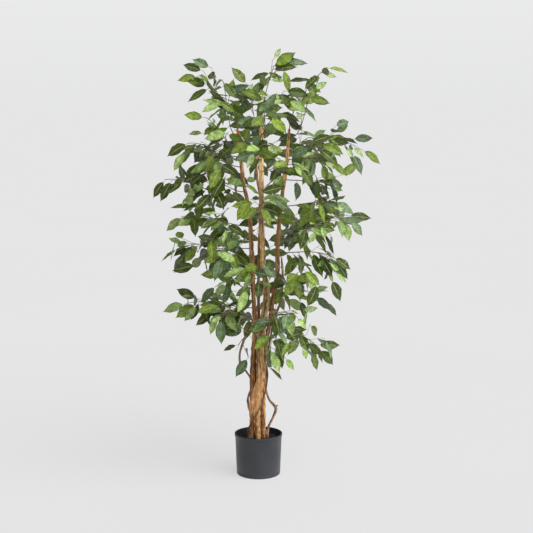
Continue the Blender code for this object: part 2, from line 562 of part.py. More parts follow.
def bodies(mesh):
    """Cuts the mesh into triangles; how many bodies joined by edges it has, none if it is open.

    Two triangles folded flat on each other hold nothing between them, and are taken out.
    """
    shape = bmesh.new()
    shape.from_mesh(mesh)
    bmesh.ops.triangulate(shape, faces=shape.faces)
    twins = {}
    for face in shape.faces:
        twins.setdefault(frozenset(face.verts), []).append(face)
    folded = [face for pair in twins.values() if len(pair) == 2 for face in pair]
    bmesh.ops.delete(shape, geom=folded, context="FACES")
    shape.faces.index_update()
    shape.faces.ensure_lookup_table()
    closed = all(len(edge.link_faces) == 2 for edge in shape.edges)
    left = set(range(len(shape.faces)))
    count = 0
    while closed and left:
        count += 1
        reached = [left.pop()]
        while reached:
            edges = shape.faces[reached.pop()].edges
            beside = {near.index for edge in edges for near in edge.link_faces} & left
            left -= beside
            reached += beside
    shape.to_mesh(mesh)
    shape.free()
    return count


def cut_or_join(piece, operation, operands):
    """Applies a Boolean with a collection to the piece and removes the collection's objects.

    The exact solver is used, or the manifold one where the exact one leaves an open or a
    divided result.
    """
    tool = piece.modifiers.new("Boolean", "BOOLEAN")
    tool.operation = operation
    tool.operand_type = "COLLECTION"
    tool.collection = operands
    for solver in ("EXACT", "MANIFOLD"):
        tool.solver = solver
        evaluated = piece.evaluated_get(bpy.context.evaluated_depsgraph_get())
        mesh = bpy.data.meshes.new_from_object(evaluated)
        if bodies(mesh) == 1:
            break
    piece.modifiers.clear()
    piece.data = mesh
    for operand in list(operands.objects):
        bpy.data.objects.remove(operand)
    bpy.data.collections.remove(operands)
    return piece


def gathered(name, shapes, material):
    """A collection of solids, one for each shape."""
    group = bpy.data.collections.new(name)
    bpy.context.scene.collection.children.link(group)
    for index, shape in enumerate(shapes):
        piece = solid(f"{name}_{index}", *shape, material)
        bpy.context.scene.collection.objects.unlink(piece)
        group.objects.link(piece)
    return group


def fuse(name, shapes, material):
    """One closed solid from overlapping ones."""
    base = solid(name, *shapes[0], material)
    return cut_or_join(base, "UNION", gathered(name + "_joined", shapes[1:], material))


def make_pot(material):
    """Tapered shell with a rolled lip and a flat underside."""
    body_top = POT_RIM_RADIUS - LIP_STEP
    lip_foot = POT_HEIGHT - LIP_HEIGHT
    corner = FOOT_ROUND * (1 - math.sqrt(0.5))
    profile = [
        (0.0, 0.0), (POT_BASE_RADIUS - FOOT_ROUND, 0.0), (POT_BASE_RADIUS - corner, corner),
        (POT_BASE_RADIUS, FOOT_ROUND), (body_top, lip_foot), (POT_RIM_RADIUS, lip_foot + RIM_ROUND),
        (POT_RIM_RADIUS, POT_HEIGHT - RIM_ROUND), (POT_RIM_RADIUS - RIM_ROUND, POT_HEIGHT),
        (body_top - POT_WALL + RIM_ROUND, POT_HEIGHT), (body_top - POT_WALL, POT_HEIGHT - RIM_ROUND),
        (POT_BASE_RADIUS - POT_WALL, POT_FLOOR), (0.0, POT_FLOOR)]
    pot = solid("pot", *turned(profile, POT_SIDES), material)
    pot.data.shade_smooth()
    pot.data.set_sharp_from_angle(angle=math.radians(40))
    return pot


def make_filling(routes, material):
    """The poured filling, with a plain hole for the foot of each stem."""
    inner_top = POT_RIM_RADIUS - LIP_STEP - POT_WALL
    inner_base = POT_BASE_RADIUS - POT_WALL
    edge_top = FILLING_TOP - FILLING_EDGE_DROP
    slope = (inner_top - inner_base) / (POT_HEIGHT - POT_FLOOR)
    bottom = POT_FLOOR + TOUCH_GAP
    profile = [
        (0.0, bottom), (inner_base + slope * TOUCH_GAP - HOLE_GAP, bottom),
        (inner_base + slope * (edge_top - POT_FLOOR) - HOLE_GAP, edge_top),
        (FILLING_LEVEL * inner_top, FILLING_TOP - 0.25 * FILLING_EDGE_DROP), (0.0, FILLING_TOP)]
    filling = solid("ballast", *turned(profile, POT_SIDES), material)
    holes = []
    for name, route in routes.items():
        hole = route.copy()
        hole[-1, 2] -= TOUCH_GAP
        holes.append(tube(hole[:, :3], hole[:, 3] + HOLE_GAP, WOOD[name][0]))
    return cut_or_join(filling, "DIFFERENCE", gathered("stem_holes", holes, material))


def build():
    """Clears the scene and makes every piece."""
    for old in list(bpy.data.objects):
        bpy.data.objects.remove(old)
    plastic = finish("pot plastic", (0.035, 0.038, 0.043), 0.45)
    cement = finish("dark filling", (0.015, 0.014, 0.013), 0.95)
    bark = finish("bark", (0.30, 0.19, 0.10), 0.80)
    fabric = finish("leaf fabric", (0.07, 0.19, 0.04), 0.55)

    routes = wood_routes()
    make_pot(plastic)
    make_filling(routes, cement)
    crowd = Crowd()
    surfaces = {}
    for name, route in routes.items():
        points, faces = tube(route[:, :3], route[:, 3], WOOD[name][0])
        stem = solid(name, points, triangles(faces), bark)
        stem.data.shade_smooth()
        crowd.add(points, faces)
        surfaces[name] = BVHTree.FromPolygons(
            [v.co for v in stem.data.vertices], [tuple(p.vertices) for p in stem.data.polygons])

    wires = {}
    for name, (stem, height, tips) in BRANCHES.items():
        goals = np.array(tips)[:, :3]
        start, leave = butt_on_stem(routes[stem], surfaces[stem], height, goals[0])
        wires[name] = branch_wires(start, leave, goals)
        for wire in wires[name]:
            crowd.add(*tube(*wire))

    count = 0
    for name, (_, _, tips) in BRANCHES.items():
        leaves = grow_leaves(name, wires[name], [tip[3] for tip in tips], crowd)
        shapes = [tube(*wire) for wire in wires[name]]
        shapes += [(points, LEAF_BLADE + LEAF_STALK) for points in leaves]
        fuse(name, shapes, fabric)
        count += len(leaves)
    return count


LEAF_COUNT = build()
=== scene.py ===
"""Artificial ficus tree, 1.5 m tall, in a plain nursery pot: how it looks.

Each piece takes the place of its CAD node. The frame has real wood stems, lianas round them,
and wire branches with fabric leaves. Metres, +Z up, -Y towards the camera.
"""

import math

import bmesh
import bpy
import numpy as np
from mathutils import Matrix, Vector
from mathutils.bvhtree import BVHTree


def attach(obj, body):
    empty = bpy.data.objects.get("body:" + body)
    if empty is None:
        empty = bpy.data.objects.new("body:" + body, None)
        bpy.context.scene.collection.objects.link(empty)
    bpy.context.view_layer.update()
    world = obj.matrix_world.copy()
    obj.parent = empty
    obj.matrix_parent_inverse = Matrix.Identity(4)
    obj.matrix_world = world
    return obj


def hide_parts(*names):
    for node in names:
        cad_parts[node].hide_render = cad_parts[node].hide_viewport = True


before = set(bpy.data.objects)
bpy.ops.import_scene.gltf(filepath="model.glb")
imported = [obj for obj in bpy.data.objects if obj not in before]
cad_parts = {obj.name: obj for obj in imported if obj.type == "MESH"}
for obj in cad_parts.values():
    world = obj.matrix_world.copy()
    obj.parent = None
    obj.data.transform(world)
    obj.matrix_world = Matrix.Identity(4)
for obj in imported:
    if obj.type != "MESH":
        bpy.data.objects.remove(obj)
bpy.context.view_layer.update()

# Pot: a nursery pot of dark grey polypropylene, injection moulded in one piece, with a small
# lip, a shallow ring above its foot and slightly leaning sides. It stands free on the floor.
POT_HEIGHT = 0.148
POT_RIM_RADIUS = 0.0850
POT_BASE_RADIUS = 0.0775
POT_WALL = 0.0024
POT_FLOOR = 0.0035
POT_SIDES = 144
LIP_HEIGHT = 0.0085
LIP_STEP = 0.0021
LIP_ROUND = 0.0007
FOOT_ROUND = 0.0040
FOOT_RING_HEIGHT = 0.0125
FOOT_RING_DEPTH = 0.0006
PLASTIC = (0.030, 0.032, 0.038)
PLASTIC_WORN = (0.046, 0.049, 0.057)


def even_angles(sides):
    """Angles of even steps round a circle."""
    return np.linspace(0.0, 2 * math.pi, sides, endpoint=False)


def arc(radius, height, size, start):
    """A quarter round in six points: (radius + size cos a, height + size sin a), from start degrees."""
    angle = np.radians(np.linspace(start, start + 90, 6))
    return list(zip(radius + size * np.cos(angle), height + size * np.sin(angle)))


def turned(profile, sides):
    """Rings of points: each (radius, height) of the profile turned about Z.

    x = radius cos a, y = radius sin a and z = height, for angles a at even steps.
    """
    angle = even_angles(sides)
    radius, height = np.array(profile, float).T[:, :, None]
    return np.stack(np.broadcast_arrays(radius * np.cos(angle), radius * np.sin(angle), height), axis=-1)


def closed(rings):
    """Points and faces of rings joined one to the next, shut by a point at each end.

    The end points are the means of the first and of the last ring. The rings run anticlockwise
    seen from the end towards which they are stacked, so that the faces point outwards.
    """
    rows, sides = rings.shape[:2]
    points = np.vstack([rings.reshape(-1, 3), rings[0].mean(axis=0), rings[-1].mean(axis=0)])
    below = np.arange(rows - 1)[:, None] * sides
    side = np.arange(sides)
    after = (side + 1) % sides
    walls = np.stack([below + side, below + after, below + sides + after, below + sides + side], axis=-1)
    last = (rows - 1) * sides
    foot = np.stack([np.full(sides, rows * sides), after, side], axis=-1)
    top = np.stack([np.full(sides, rows * sides + 1), last + side, last + after], axis=-1)
    return points, walls.reshape(-1, 4).tolist() + foot.tolist() + top.tolist()


def new_piece(name, points, faces, finishes, crease):
    """A smooth piece at the origin, sharp at edges steeper than the crease in degrees."""
    mesh = bpy.data.meshes.new(name)
    mesh.from_pydata(points.tolist(), [], faces)
    mesh.shade_smooth()
    mesh.set_sharp_from_angle(angle=math.radians(crease))
    piece = bpy.data.objects.new(name, mesh)
    for finish in finishes:
        mesh.materials.append(finish)
    bpy.context.scene.collection.objects.link(piece)
    return piece


def set_on_frame(piece, node):
    """The piece rides on the plant and stands for the CAD node, which is hidden."""
    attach(piece, "root")
    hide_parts(node)


def add_node(tree, kind, inputs, **settings):
    """A shader node with its settings; each input gets a value, or a link where it is a socket."""
    made = tree.nodes.new("ShaderNode" + kind)
    for label, value in settings.items():
        setattr(made, label, value)
    for label, value in inputs.items():
        if isinstance(value, bpy.types.NodeSocket):
            tree.links.new(value, made.inputs[label])
        else:
            made.inputs[label].default_value = value
    return made


def opaque(colour):
    """A red, green, blue colour with its alpha of one; a socket stays as it is."""
    return colour if isinstance(colour, bpy.types.NodeSocket) else (*colour, 1.0)


def colour_between(tree, share, low, high, **settings):
    """The colour low where the share is 0, high where it is 1."""
    inputs = {0: share, 6: opaque(low), 7: opaque(high)}
    return add_node(tree, "Mix", inputs, data_type="RGBA", **settings).outputs[2]


def in_range(tree, value, low, high, at_low=0.0, at_high=1.0):
    """The value moved from the range low..high to at_low..at_high, and held there."""
    inputs = {"Value": value, "From Min": low, "From Max": high, "To Min": at_low, "To Max": at_high}
    return add_node(tree, "MapRange", inputs).outputs["Result"]


def worked_out(tree, operation, one, other=0.0):
    """One number from two, by a Math node's operation."""
    return add_node(tree, "Math", {0: one, 1: other}, operation=operation).outputs[0]


def times(tree, one, other):
    """The product of two numbers."""
    return worked_out(tree, "MULTIPLY", one, other)


def noise(tree, vector, scale, detail=2.0, **more):
    """A cloudy value about one half."""
    inputs = {"Vector": vector, "Scale": scale, "Detail": detail, **more}
    return add_node(tree, "TexNoise", inputs).outputs["Fac"]


def object_place(tree):
    """The place on the object, in metres."""
    return add_node(tree, "TexCoord", {}).outputs["Object"]


def new_effect(name, numbers):
    """A node group with a Vector and the named numbers going in; gives it and its inputs."""
    effect = bpy.data.node_groups.new(name, "ShaderNodeTree")
    effect.interface.new_socket("Vector", in_out="INPUT", socket_type="NodeSocketVector")
    for label in numbers:
        effect.interface.new_socket(label, in_out="INPUT", socket_type="NodeSocketFloat")
    return effect, effect.nodes.new("NodeGroupInput").outputs


def give_out(effect, masks):
    """The group's outputs, each from the socket of its name."""
    for label in masks:
        effect.interface.new_socket(label, in_out="OUTPUT", socket_type="NodeSocketFloat")
    end = effect.nodes.new("NodeGroupOutput")
    for label, socket in masks.items():
        effect.links.new(socket, end.inputs[label])


def new_finish(name):
    """A material with only its Principled shader; gives it, its tree and the shader."""
    finish = bpy.data.materials.new(name)
    finish.use_nodes = True
    return finish, finish.node_tree, finish.node_tree.nodes["Principled BSDF"]


def dress(tree, shader, colour, roughness, height, strength, distance):
    """The shader's colour and roughness, and its bumps, as high as the distance in metres."""
    tree.links.new(colour, shader.inputs["Base Color"])
    if isinstance(roughness, bpy.types.NodeSocket):
        tree.links.new(roughness, shader.inputs["Roughness"])
    else:
        shader.inputs["Roughness"].default_value = roughness
    bump = add_node(tree, "Bump", {"Height": height, "Strength": strength, "Distance": distance})
    tree.links.new(bump.outputs[0], shader.inputs["Normal"])


# Mottle: uneven cloudy patches, as on plastic, poured filling and printed fabric
mottle, ends = new_effect("mottle", ("Scale", "Detail", "Low", "High"))
cloud = noise(mottle, ends["Vector"], ends["Scale"], ends["Detail"])
give_out(mottle, {"Mask": in_range(mottle, cloud, ends["Low"], ends["High"])})


def mottled(tree, vector, scale, detail=3.0, low=0.40, high=0.62):
    """The mottle's mask at a scale, on the vector."""
    inputs = {"Vector": vector, "Scale": scale, "Detail": detail, "Low": low, "High": high}
    return add_node(tree, "Group", inputs, node_tree=mottle).outputs["Mask"]


body_top = POT_RIM_RADIUS - LIP_STEP
lip_under = POT_HEIGHT - LIP_HEIGHT
pot_lean = (body_top - POT_BASE_RADIUS) / lip_under
ring_radius = POT_BASE_RADIUS + pot_lean * FOOT_RING_HEIGHT
pot_profile = [
    (0.010, 0.0), (0.060, 0.0),
    *arc(POT_BASE_RADIUS - FOOT_ROUND, FOOT_ROUND, FOOT_ROUND, -90),
    (ring_radius - 0.0002, FOOT_RING_HEIGHT - 0.0012),
    (ring_radius - FOOT_RING_DEPTH, FOOT_RING_HEIGHT - 0.0004),
    (ring_radius - FOOT_RING_DEPTH, FOOT_RING_HEIGHT + 0.0004),
    (ring_radius, FOOT_RING_HEIGHT + 0.0012),
    (0.5 * (ring_radius + body_top), 0.5 * (FOOT_RING_HEIGHT + lip_under)),
    (body_top, lip_under - 0.0008), (body_top + 0.0003, lip_under - 0.0001),
    (POT_RIM_RADIUS - 0.0005, lip_under), (POT_RIM_RADIUS, lip_under + 0.0006),
    *arc(POT_RIM_RADIUS - LIP_ROUND, POT_HEIGHT - LIP_ROUND, LIP_ROUND, 0),
    *arc(body_top - POT_WALL + LIP_ROUND, POT_HEIGHT - LIP_ROUND, LIP_ROUND, 90),
    (body_top - POT_WALL, lip_under), (POT_BASE_RADIUS - POT_WALL, POT_FLOOR + 0.0010),
    (POT_BASE_RADIUS - POT_WALL - 0.0010, POT_FLOOR), (0.010, POT_FLOOR)]

pot_plastic, tree, shader = new_finish("pot_plastic")
place = object_place(tree)
broad = mottled(tree, place, 9.0)
fine = mottled(tree, place, 60.0, 6.0, 0.35, 0.75)
flow = add_node(tree, "Mapping", {"Vector": place, "Scale": (90.0, 90.0, 5.0)}).outputs[0]
rubbed = times(tree, mottled(tree, flow, 1.0, 4.0, 0.52, 0.80), 0.5)
worn = worked_out(tree, "MAXIMUM", times(tree, broad, 0.7), rubbed)
ripple = worked_out(tree, "ADD", times(tree, noise(tree, place, 1400.0), 0.3), broad)
dress(tree, shader, colour_between(tree, worn, PLASTIC, PLASTIC_WORN),
      in_range(tree, fine, 0.0, 1.0, 0.36, 0.48), ripple, 0.25, 0.0004)

pot = new_piece("pot_shell", *closed(turned(pot_profile, POT_SIDES)), [pot_plastic], 50)
set_on_frame(pot, "pot")

# Filling: dark cement with grit, poured round the stems' feet, and left rough on top. It holds
# the stems and is the tree's weight.
FILLING_TOP = 0.1305
FILLING_EDGE_DROP = 0.0035
FILLING_GAP = 0.0004
FILLING_FOOT = POT_FLOOR + 0.0003
FILLING_SIDES = 120
FILLING_RINGS = 34
# Lumps of the rough top: how many waves, their height and lengths, and the limits of their sum
LUMPS = 46
LUMP_HEIGHT = 0.0011
LUMP_LENGTH = (0.007, 0.045)
LUMP_LIMITS = (-0.003, 0.0035)
CEMENT = (0.008, 0.0075, 0.007)
CEMENT_DRY = (0.026, 0.023, 0.020)


def lumpy(flat, seed):
    """Height of rough lumps at points x, y: a sum of waves of seeded lengths, headings and phases.

    The sum goes through a power below one, so that it has broad crowns and narrow creases.
    """
    draw = np.random.default_rng(seed)
    heading = draw.uniform(0.0, 2 * math.pi, LUMPS)
    length = np.geomspace(*LUMP_LENGTH, LUMPS)
    phase = draw.uniform(0.0, 2 * math.pi, LUMPS)
    across = flat[..., 0, None] * np.cos(heading) + flat[..., 1, None] * np.sin(heading)
    waves = np.sin(across * 2 * math.pi / length + phase) * (length / LUMP_LENGTH[1])**0.5
    total = waves.sum(axis=-1)
    return LUMP_HEIGHT * np.sign(total) * np.abs(total)**0.7


inner_foot = POT_BASE_RADIUS - POT_WALL
inner_slope = (body_top - POT_BASE_RADIUS) / (POT_HEIGHT - POT_FLOOR)
filling_edge = inner_foot + inner_slope * (FILLING_TOP - FILLING_EDGE_DROP - POT_FLOOR) - FILLING_GAP
outward = np.linspace(1.0, 0.03, FILLING_RINGS)
filling_profile = [(0.010, FILLING_FOOT), (inner_foot - FILLING_GAP, FILLING_FOOT),
                   *zip(filling_edge * outward, FILLING_TOP - FILLING_EDGE_DROP * outward**4)]
filling_rings = turned(filling_profile, FILLING_SIDES)
lumps = np.clip(lumpy(filling_rings[3:, :, :2], 11), *LUMP_LIMITS)
filling_rings[3:, :, 2] += lumps * np.clip((1.0 - outward[1:]) * 8.0, 0.0, 1.0)[:, None]

cement, tree, shader = new_finish("cement_with_grit")
place = object_place(tree)
grit = add_node(tree, "TexVoronoi", {"Vector": place, "Scale": 260.0}).outputs["Distance"]
dry = times(tree, mottled(tree, place, 45.0, 8.0, 0.45, 0.70), 0.6)
pale_grit = times(tree, in_range(tree, grit, 0.16, 0.06), mottled(tree, place, 130.0, 2.0, 0.52, 0.60))
rough = worked_out(tree, "ADD", mottled(tree, place, 220.0, 6.0, 0.3, 0.7), times(tree, grit, 1.5))
colour = colour_between(tree, worked_out(tree, "MAXIMUM", dry, pale_grit), CEMENT, CEMENT_DRY)
dress(tree, shader, colour, 0.92, rough, 0.8, 0.0015)

filling = new_piece("poured_filling", *closed(filling_rings), [cement], 70)
set_on_frame(filling, "ballast")

# Stems: three lengths of natural liana wood and a thinner one behind them, dried with their
# thin bark on, sawn off at the top and set side by side in the filling.
STEM_SIDES = 28
STEM_STEP = 0.004
STEM_CREASE = 65
CUT_EDGE = 0.0006
# Rings of the sawn end: the share of the last ring's radius, and the share of the edge's rise
CUT_RINGS = ((0.93, 0.7), (0.55, 1.0))
# Tints of the bark at its foot, and the heights between which they come in
WARM_FOOT = (1.07, 0.985, 0.93)
PALE_FOOT = (1.34, 1.34, 1.36)
FOOT_FADE = (0.50, 0.34)
# Its tint up among the leaves, paler wood and painted light in one: the lowest and highest z of
# each stretch, and the share added there
BLEACHED_AND_LIT = (3.0, 3.2, 3.5)
BLEACHED_AND_LIT_SHARES = ((0.55, 1.00, 0.08), (1.00, 1.14, 0.70))
RUST = (0.33, 0.115, 0.030)
KNOT_HEART = (0.095, 0.034, 0.012)
SAWN_WOOD = (0.44, 0.35, 0.24)
#     node: seed, depth of the relief, dark crease that is also laid in sunk places as painted
#     shade, brown bark, pale fibre, share of rusty patches, and the foot's tint where it isn't the
#     warm one
STEMS = {
    "stem_left": (21, 0.18, (0.030, 0.011, 0.004), (0.40, 0.175, 0.062), (0.64, 0.350, 0.140), 0.42),
    "stem_middle": (22, 0.17, (0.055, 0.021, 0.007), (0.64, 0.350, 0.128), (0.84, 0.560, 0.255), 0.34),
    "stem_right": (23, 0.18, (0.036, 0.014, 0.005), (0.38, 0.170, 0.060), (0.60, 0.345, 0.145), 0.40,
                   PALE_FOOT),
    "stem_back": (24, 0.18, (0.030, 0.012, 0.005), (0.34, 0.140, 0.052), (0.56, 0.320, 0.140), 0.42),
}
#   node: knots, as height in metres, side in degrees, and how far each stands proud in metres
KNOTS = {
    "stem_left": [(1.06, 200, 0.0016), (0.905, 320, 0.0018), (0.712, 250, 0.0014), (0.54, 300, 0.002),
        (0.385, 215, 0.0016), (0.24, 280, 0.0018)],
    "stem_middle": [(1.146, 330, 0.0026), (0.905, 215, 0.0028), (0.78, 300, 0.0016), (0.64, 320, 0.0022),
        (0.52, 235, 0.0022), (0.376, 340, 0.004), (0.346, 290, 0.0014), (0.274, 312, 0.0028),
        (0.19, 310, 0.0016), (0.153, 262, 0.0012)],
    "stem_right": [(1.1, 280, 0.0014), (0.938, 330, 0.0018), (0.752, 300, 0.0024), (0.59, 260, 0.0018),
        (0.46, 330, 0.0018), (0.262, 290, 0.0022)],
    "stem_back": [(0.96, 270, 0.0012), (0.76, 300, 0.0014)],
}
GUIDES = np.array([(1, 0, 0), (0, 1, 0), (0, 0, 1), (1, 1, 0), (1, -1, 0), (1, 0, 1), (1, 0, -1)], float)


def welded(node):
    """A CAD node's mesh with its loose triangles joined."""
    shape = bmesh.new()
    shape.from_mesh(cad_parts[node].data)
    bmesh.ops.remove_doubles(shape, verts=shape.verts, dist=2e-6)
    return shape


def ring_rows(node):
    """The centre and radius of every ring of a CAD stem, foot to top, as rows of x, y, z, radius.

    From the lowest ring on, the next ring is what its edges reach. A ring's centre is the mean
    of its points, and its radius their mean distance from it.
    """
    shape = welded(node)
    foot = min(point.co.z for point in shape.verts)
    ring = {point for point in shape.verts if point.co.z < foot + 1e-5}
    reached = set(ring)
    rows = []
    while ring:
        corners = np.array([point.co for point in ring])
        centre = corners.mean(axis=0)
        rows.append((*centre, np.linalg.norm(corners - centre, axis=1).mean()))
        ring = {edge.other_vert(point) for point in ring for edge in point.link_edges} - reached
        reached |= ring
    shape.free()
    return np.array(rows)


def run_length(path):
    """How far each point of a path lies along it."""
    return np.r_[0.0, np.cumsum(np.linalg.norm(np.diff(path, axis=0), axis=1))]


def read_off(places, known, rows):
    """The rows at the places, between the known places of the given rows."""
    return np.stack([np.interp(places, known, column) for column in rows.T], axis=-1)


def smooth_route(rows, step):
    """Rows of x, y, z and radius on a Catmull-Rom curve through the given ones, evenly spaced.

    Between p1 and p2 it is (2 p1 + (p2 - p0) t + (2 p0 - 5 p1 + 4 p2 - p3) t^2
    + (3 p1 - p0 - 3 p2 + p3) t^3) / 2.
    """
    ends = np.vstack([2 * rows[0] - rows[1], rows, 2 * rows[-1] - rows[-2]])
    p0, p1, p2, p3 = (ends[first:len(ends) - 3 + first, None] for first in range(4))
    t = np.linspace(0.0, 1.0, 16, endpoint=False)[None, :, None]
    curve = 0.5 * (2 * p1 + (p2 - p0) * t + (2 * p0 - 5 * p1 + 4 * p2 - p3) * t**2
                   + (3 * p1 - p0 - 3 * p2 + p3) * t**3)
    curve = np.vstack([curve.reshape(-1, 4), rows[-1:]])
    length = run_length(curve[:, :3])
    even = np.linspace(0.0, length[-1], int(round(length[-1] / step)) + 1)
    return read_off(even, length, curve)


def swept(path, radius):
    """Rings square to a path: centre + radius (cos a * across + sin a * up), radius as rows by sides.

    across is square to the path's run and to the one of a few fixed guides that stays furthest
    from the run; up is square to both.
    """
    run = np.gradient(path, axis=0)
    run /= np.linalg.norm(run, axis=1, keepdims=True)
    square = np.cross(run[None], GUIDES[:, None])
    across = square[np.linalg.norm(square, axis=2).min(axis=1).argmax()]
    across /= np.linalg.norm(across, axis=1, keepdims=True)
    up = np.cross(run, across)
    angle = even_angles(radius.shape[1])[None, :, None]
    ring = across[:, None] * np.cos(angle) + up[:, None] * np.sin(angle)
    return path[:, None] + ring * radius[..., None]


def bark_relief(length, sides, seed, depth):
    """The share by which bark stands proud of an even round, for rows at the lengths along a stem.

    It is a sum of waves cos(k a + w s + phase) with few or many ridges k round the stem and long
    waves w along it, of short lumps, of grooves where a sharpened and wandering wave dips, and of
    slow swellings. It sinks no deeper than a third of the radius.
    """
    draw = np.random.default_rng(seed)
    angle = even_angles(sides)[None, :, None]
    along = length[:, None, None]
    ridges = np.array([1, 1, 2, 2, 3, 3, 4, 5, 6, 7, 9])
    phase = draw.uniform(0.0, 2 * math.pi, len(ridges))
    winding = draw.uniform(-28.0, 28.0, len(ridges))
    waves = np.cos(ridges * angle + winding * along + phase) / (1 + 0.35 * ridges)
    groove_phase = draw.uniform(0.0, 2 * math.pi, 3)
    groove_wind = draw.uniform(-14.0, 14.0, 3)
    wander = 0.7 * np.sin(along * (19.0, 27.0, 41.0) + groove_phase)
    grooves = np.clip(np.cos((2, 3, 3) * angle + groove_wind * along + groove_phase + wander), 0, 1)**12
    lump_ridges = np.array([1, 2, 2, 3, 3, 4])
    lump_phase = draw.uniform(0.0, 2 * math.pi, len(lump_ridges))
    lump_wave = draw.uniform(110.0, 320.0, len(lump_ridges)) * (1, -1, 1, -1, 1, -1)
    lumps = np.cos(lump_ridges * angle + lump_wave * along + lump_phase)
    swell_phase = draw.uniform(0.0, 2 * math.pi, 4)
    swellings = np.cos(along * (9.0, 23.0, 61.0, 140.0) + swell_phase) * (0.5, 0.45, 0.35, 0.22)
    total = 0.50 * waves.sum(axis=-1) - 1.25 * grooves.sum(axis=-1) + 0.45 * swellings.sum(axis=-1)
    return np.maximum(depth * (total + 0.17 * lumps.sum(axis=-1)), -0.32)


def knot_relief(route, sides, knots):
    """How far knots stand proud of a stem, in metres, and how dark they are, from 0 to 1.

    A knot is a round hill dimpled at its top, proud * (1.25 exp(-d^2) - 0.6 exp(-6 d^2)), d being
    the distance over the surface from its middle in knot radii. Its dark heart is exp(-3 d^2).
    """
    height, side, proud = np.array(knots, float).T
    turn = np.angle(np.exp(1j * (even_angles(sides)[None, :, None] - np.radians(side))))
    reach = 2.6 * proud + 0.0035
    distance = ((route[:, 2, None, None] - height) / (1.5 * reach))**2
    distance = distance + (turn * route[:, 3, None, None] / reach)**2
    hills = (proud * (1.25 * np.exp(-distance) - 0.6 * np.exp(-6 * distance))).sum(axis=-1)
    return hills, np.clip(np.exp(-3 * distance).sum(axis=-1), 0, 1)


def tinted(tree, colour, *tints):
    """The colour multiplied by each tint in turn."""
    for tint in tints:
        colour = colour_between(tree, 1.0, colour, tint, blend_type="MULTIPLY")
    return colour


def layered(tree, colour, layers):
    """The colour under layers of others, each laid on where its mask times its share says."""
    for mask, share, over in layers:
        colour = colour_between(tree, times(tree, mask, share), colour, over)
    return colour


# Wood fibre: fine strands along a stem, dark creases and specks between them, and broad patches
wood_fibre, ends = new_effect("wood_fibre", ())
grain = ends["Vector"]
drawn_out = [add_node(wood_fibre, "VectorMath", {0: grain, 1: (1.0, 1.0, share)},
                      operation="MULTIPLY").outputs[0] for share in (0.12, 0.17, 0.34)]
strands = noise(wood_fibre, drawn_out[0], 340.0, 5.0, Roughness=0.62, Distortion=0.35)
slits = noise(wood_fibre, drawn_out[1], 250.0, 3.0)
blots = noise(wood_fibre, drawn_out[2], 105.0, 3.0)
dots = add_node(wood_fibre, "TexVoronoi", {"Vector": grain, "Scale": 230.0}).outputs["Distance"]
where_dots = in_range(wood_fibre, noise(wood_fibre, grain, 60.0), 0.5, 0.58)
specks = times(wood_fibre, in_range(wood_fibre, dots, 0.30, 0.12), where_dots)
give_out(wood_fibre, {
    "Fibre": in_range(wood_fibre, strands, 0.31, 0.69),
    "Crease": worked_out(wood_fibre, "MAXIMUM", in_range(wood_fibre, slits, 0.43, 0.34),
                         times(wood_fibre, specks, 0.8)),
    "Patch": in_range(wood_fibre, noise(wood_fibre, grain, 28.0, 4.0), 0.48, 0.66),
    "Worn": in_range(wood_fibre, blots, 0.52, 0.66),
    "Stain": in_range(wood_fibre, blots, 0.44, 0.34)})


def fibre_bark(name, crease, brown, pale, rust, foot=WARM_FOOT):
    """Bark patterned on the grain attribute: x, y round the stem, z along it.

    The form attribute says where a surface is sawn, sunk or a knot; sunk places get the crease
    colour as painted shade. The bark is paler up the stem among the leaves, partly wood that has
    faded and partly painted light, and has its own tint at the foot.
    """
    finish, tree, shader = new_finish(name)
    grain, form = (add_node(tree, "Attribute", {}, attribute_name=label).outputs["Vector"]
                   for label in ("grain", "form"))
    cut, sunk_shade, knot = add_node(tree, "SeparateXYZ", {0: form}).outputs
    masks = add_node(tree, "Group", {"Vector": grain}, node_tree=wood_fibre).outputs
    worn = np.array(pale) * (1.15, 1.18, 1.25)
    stain = np.array(brown) * (0.42, 0.36, 0.32) + (0.02, 0.008, 0.004)
    # Sunk places of the bark relief get the crease colour laid on as painted shade.
    colour = layered(tree, colour_between(tree, masks["Fibre"], brown, pale), [
        (masks["Patch"], rust, RUST), (masks["Worn"], 0.75, worn), (masks["Stain"], 0.62, stain),
        (masks["Crease"], 0.34, crease), (sunk_shade, 0.78, crease), (knot, 0.80, KNOT_HEART),
        (cut, 0.9, SAWN_WOOD)])
    # Paler up the stem: partly wood that has faded, partly painted light where the upper stems are lit more.
    height = add_node(tree, "SeparateXYZ", {0: object_place(tree)}).outputs[2]
    bleached_and_lit = worked_out(tree, "ADD", *(in_range(tree, height, low, high, 0.0, share)
                                         for low, high, share in BLEACHED_AND_LIT_SHARES))
    colour = tinted(tree, colour, colour_between(tree, bleached_and_lit, (1.0, 1.0, 1.0), BLEACHED_AND_LIT),
                    colour_between(tree, in_range(tree, height, *FOOT_FADE), (1.0, 1.0, 1.0), foot))
    ridges = worked_out(tree, "SUBTRACT", masks["Fibre"], times(tree, masks["Crease"], 1.4))
    dress(tree, shader, colour, in_range(tree, masks["Fibre"], 0.0, 1.0, 0.62, 0.84), ridges, 0.75, 0.0011)
    return finish


def new_layer(piece, name, vectors):
    """A vector for every point of the piece, under the name that its bark reads."""
    piece.data.attributes.new(name, "FLOAT_VECTOR", "POINT").data.foreach_set("vector", vectors.ravel())


def sunk_shade_of(relief, depth):
    """How deep each place of the relief is sunk, from 0 to 1: how much painted shade the bark gets there."""
    return np.clip(-relief / (1.5 * depth) - 0.15, 0, 1).ravel()


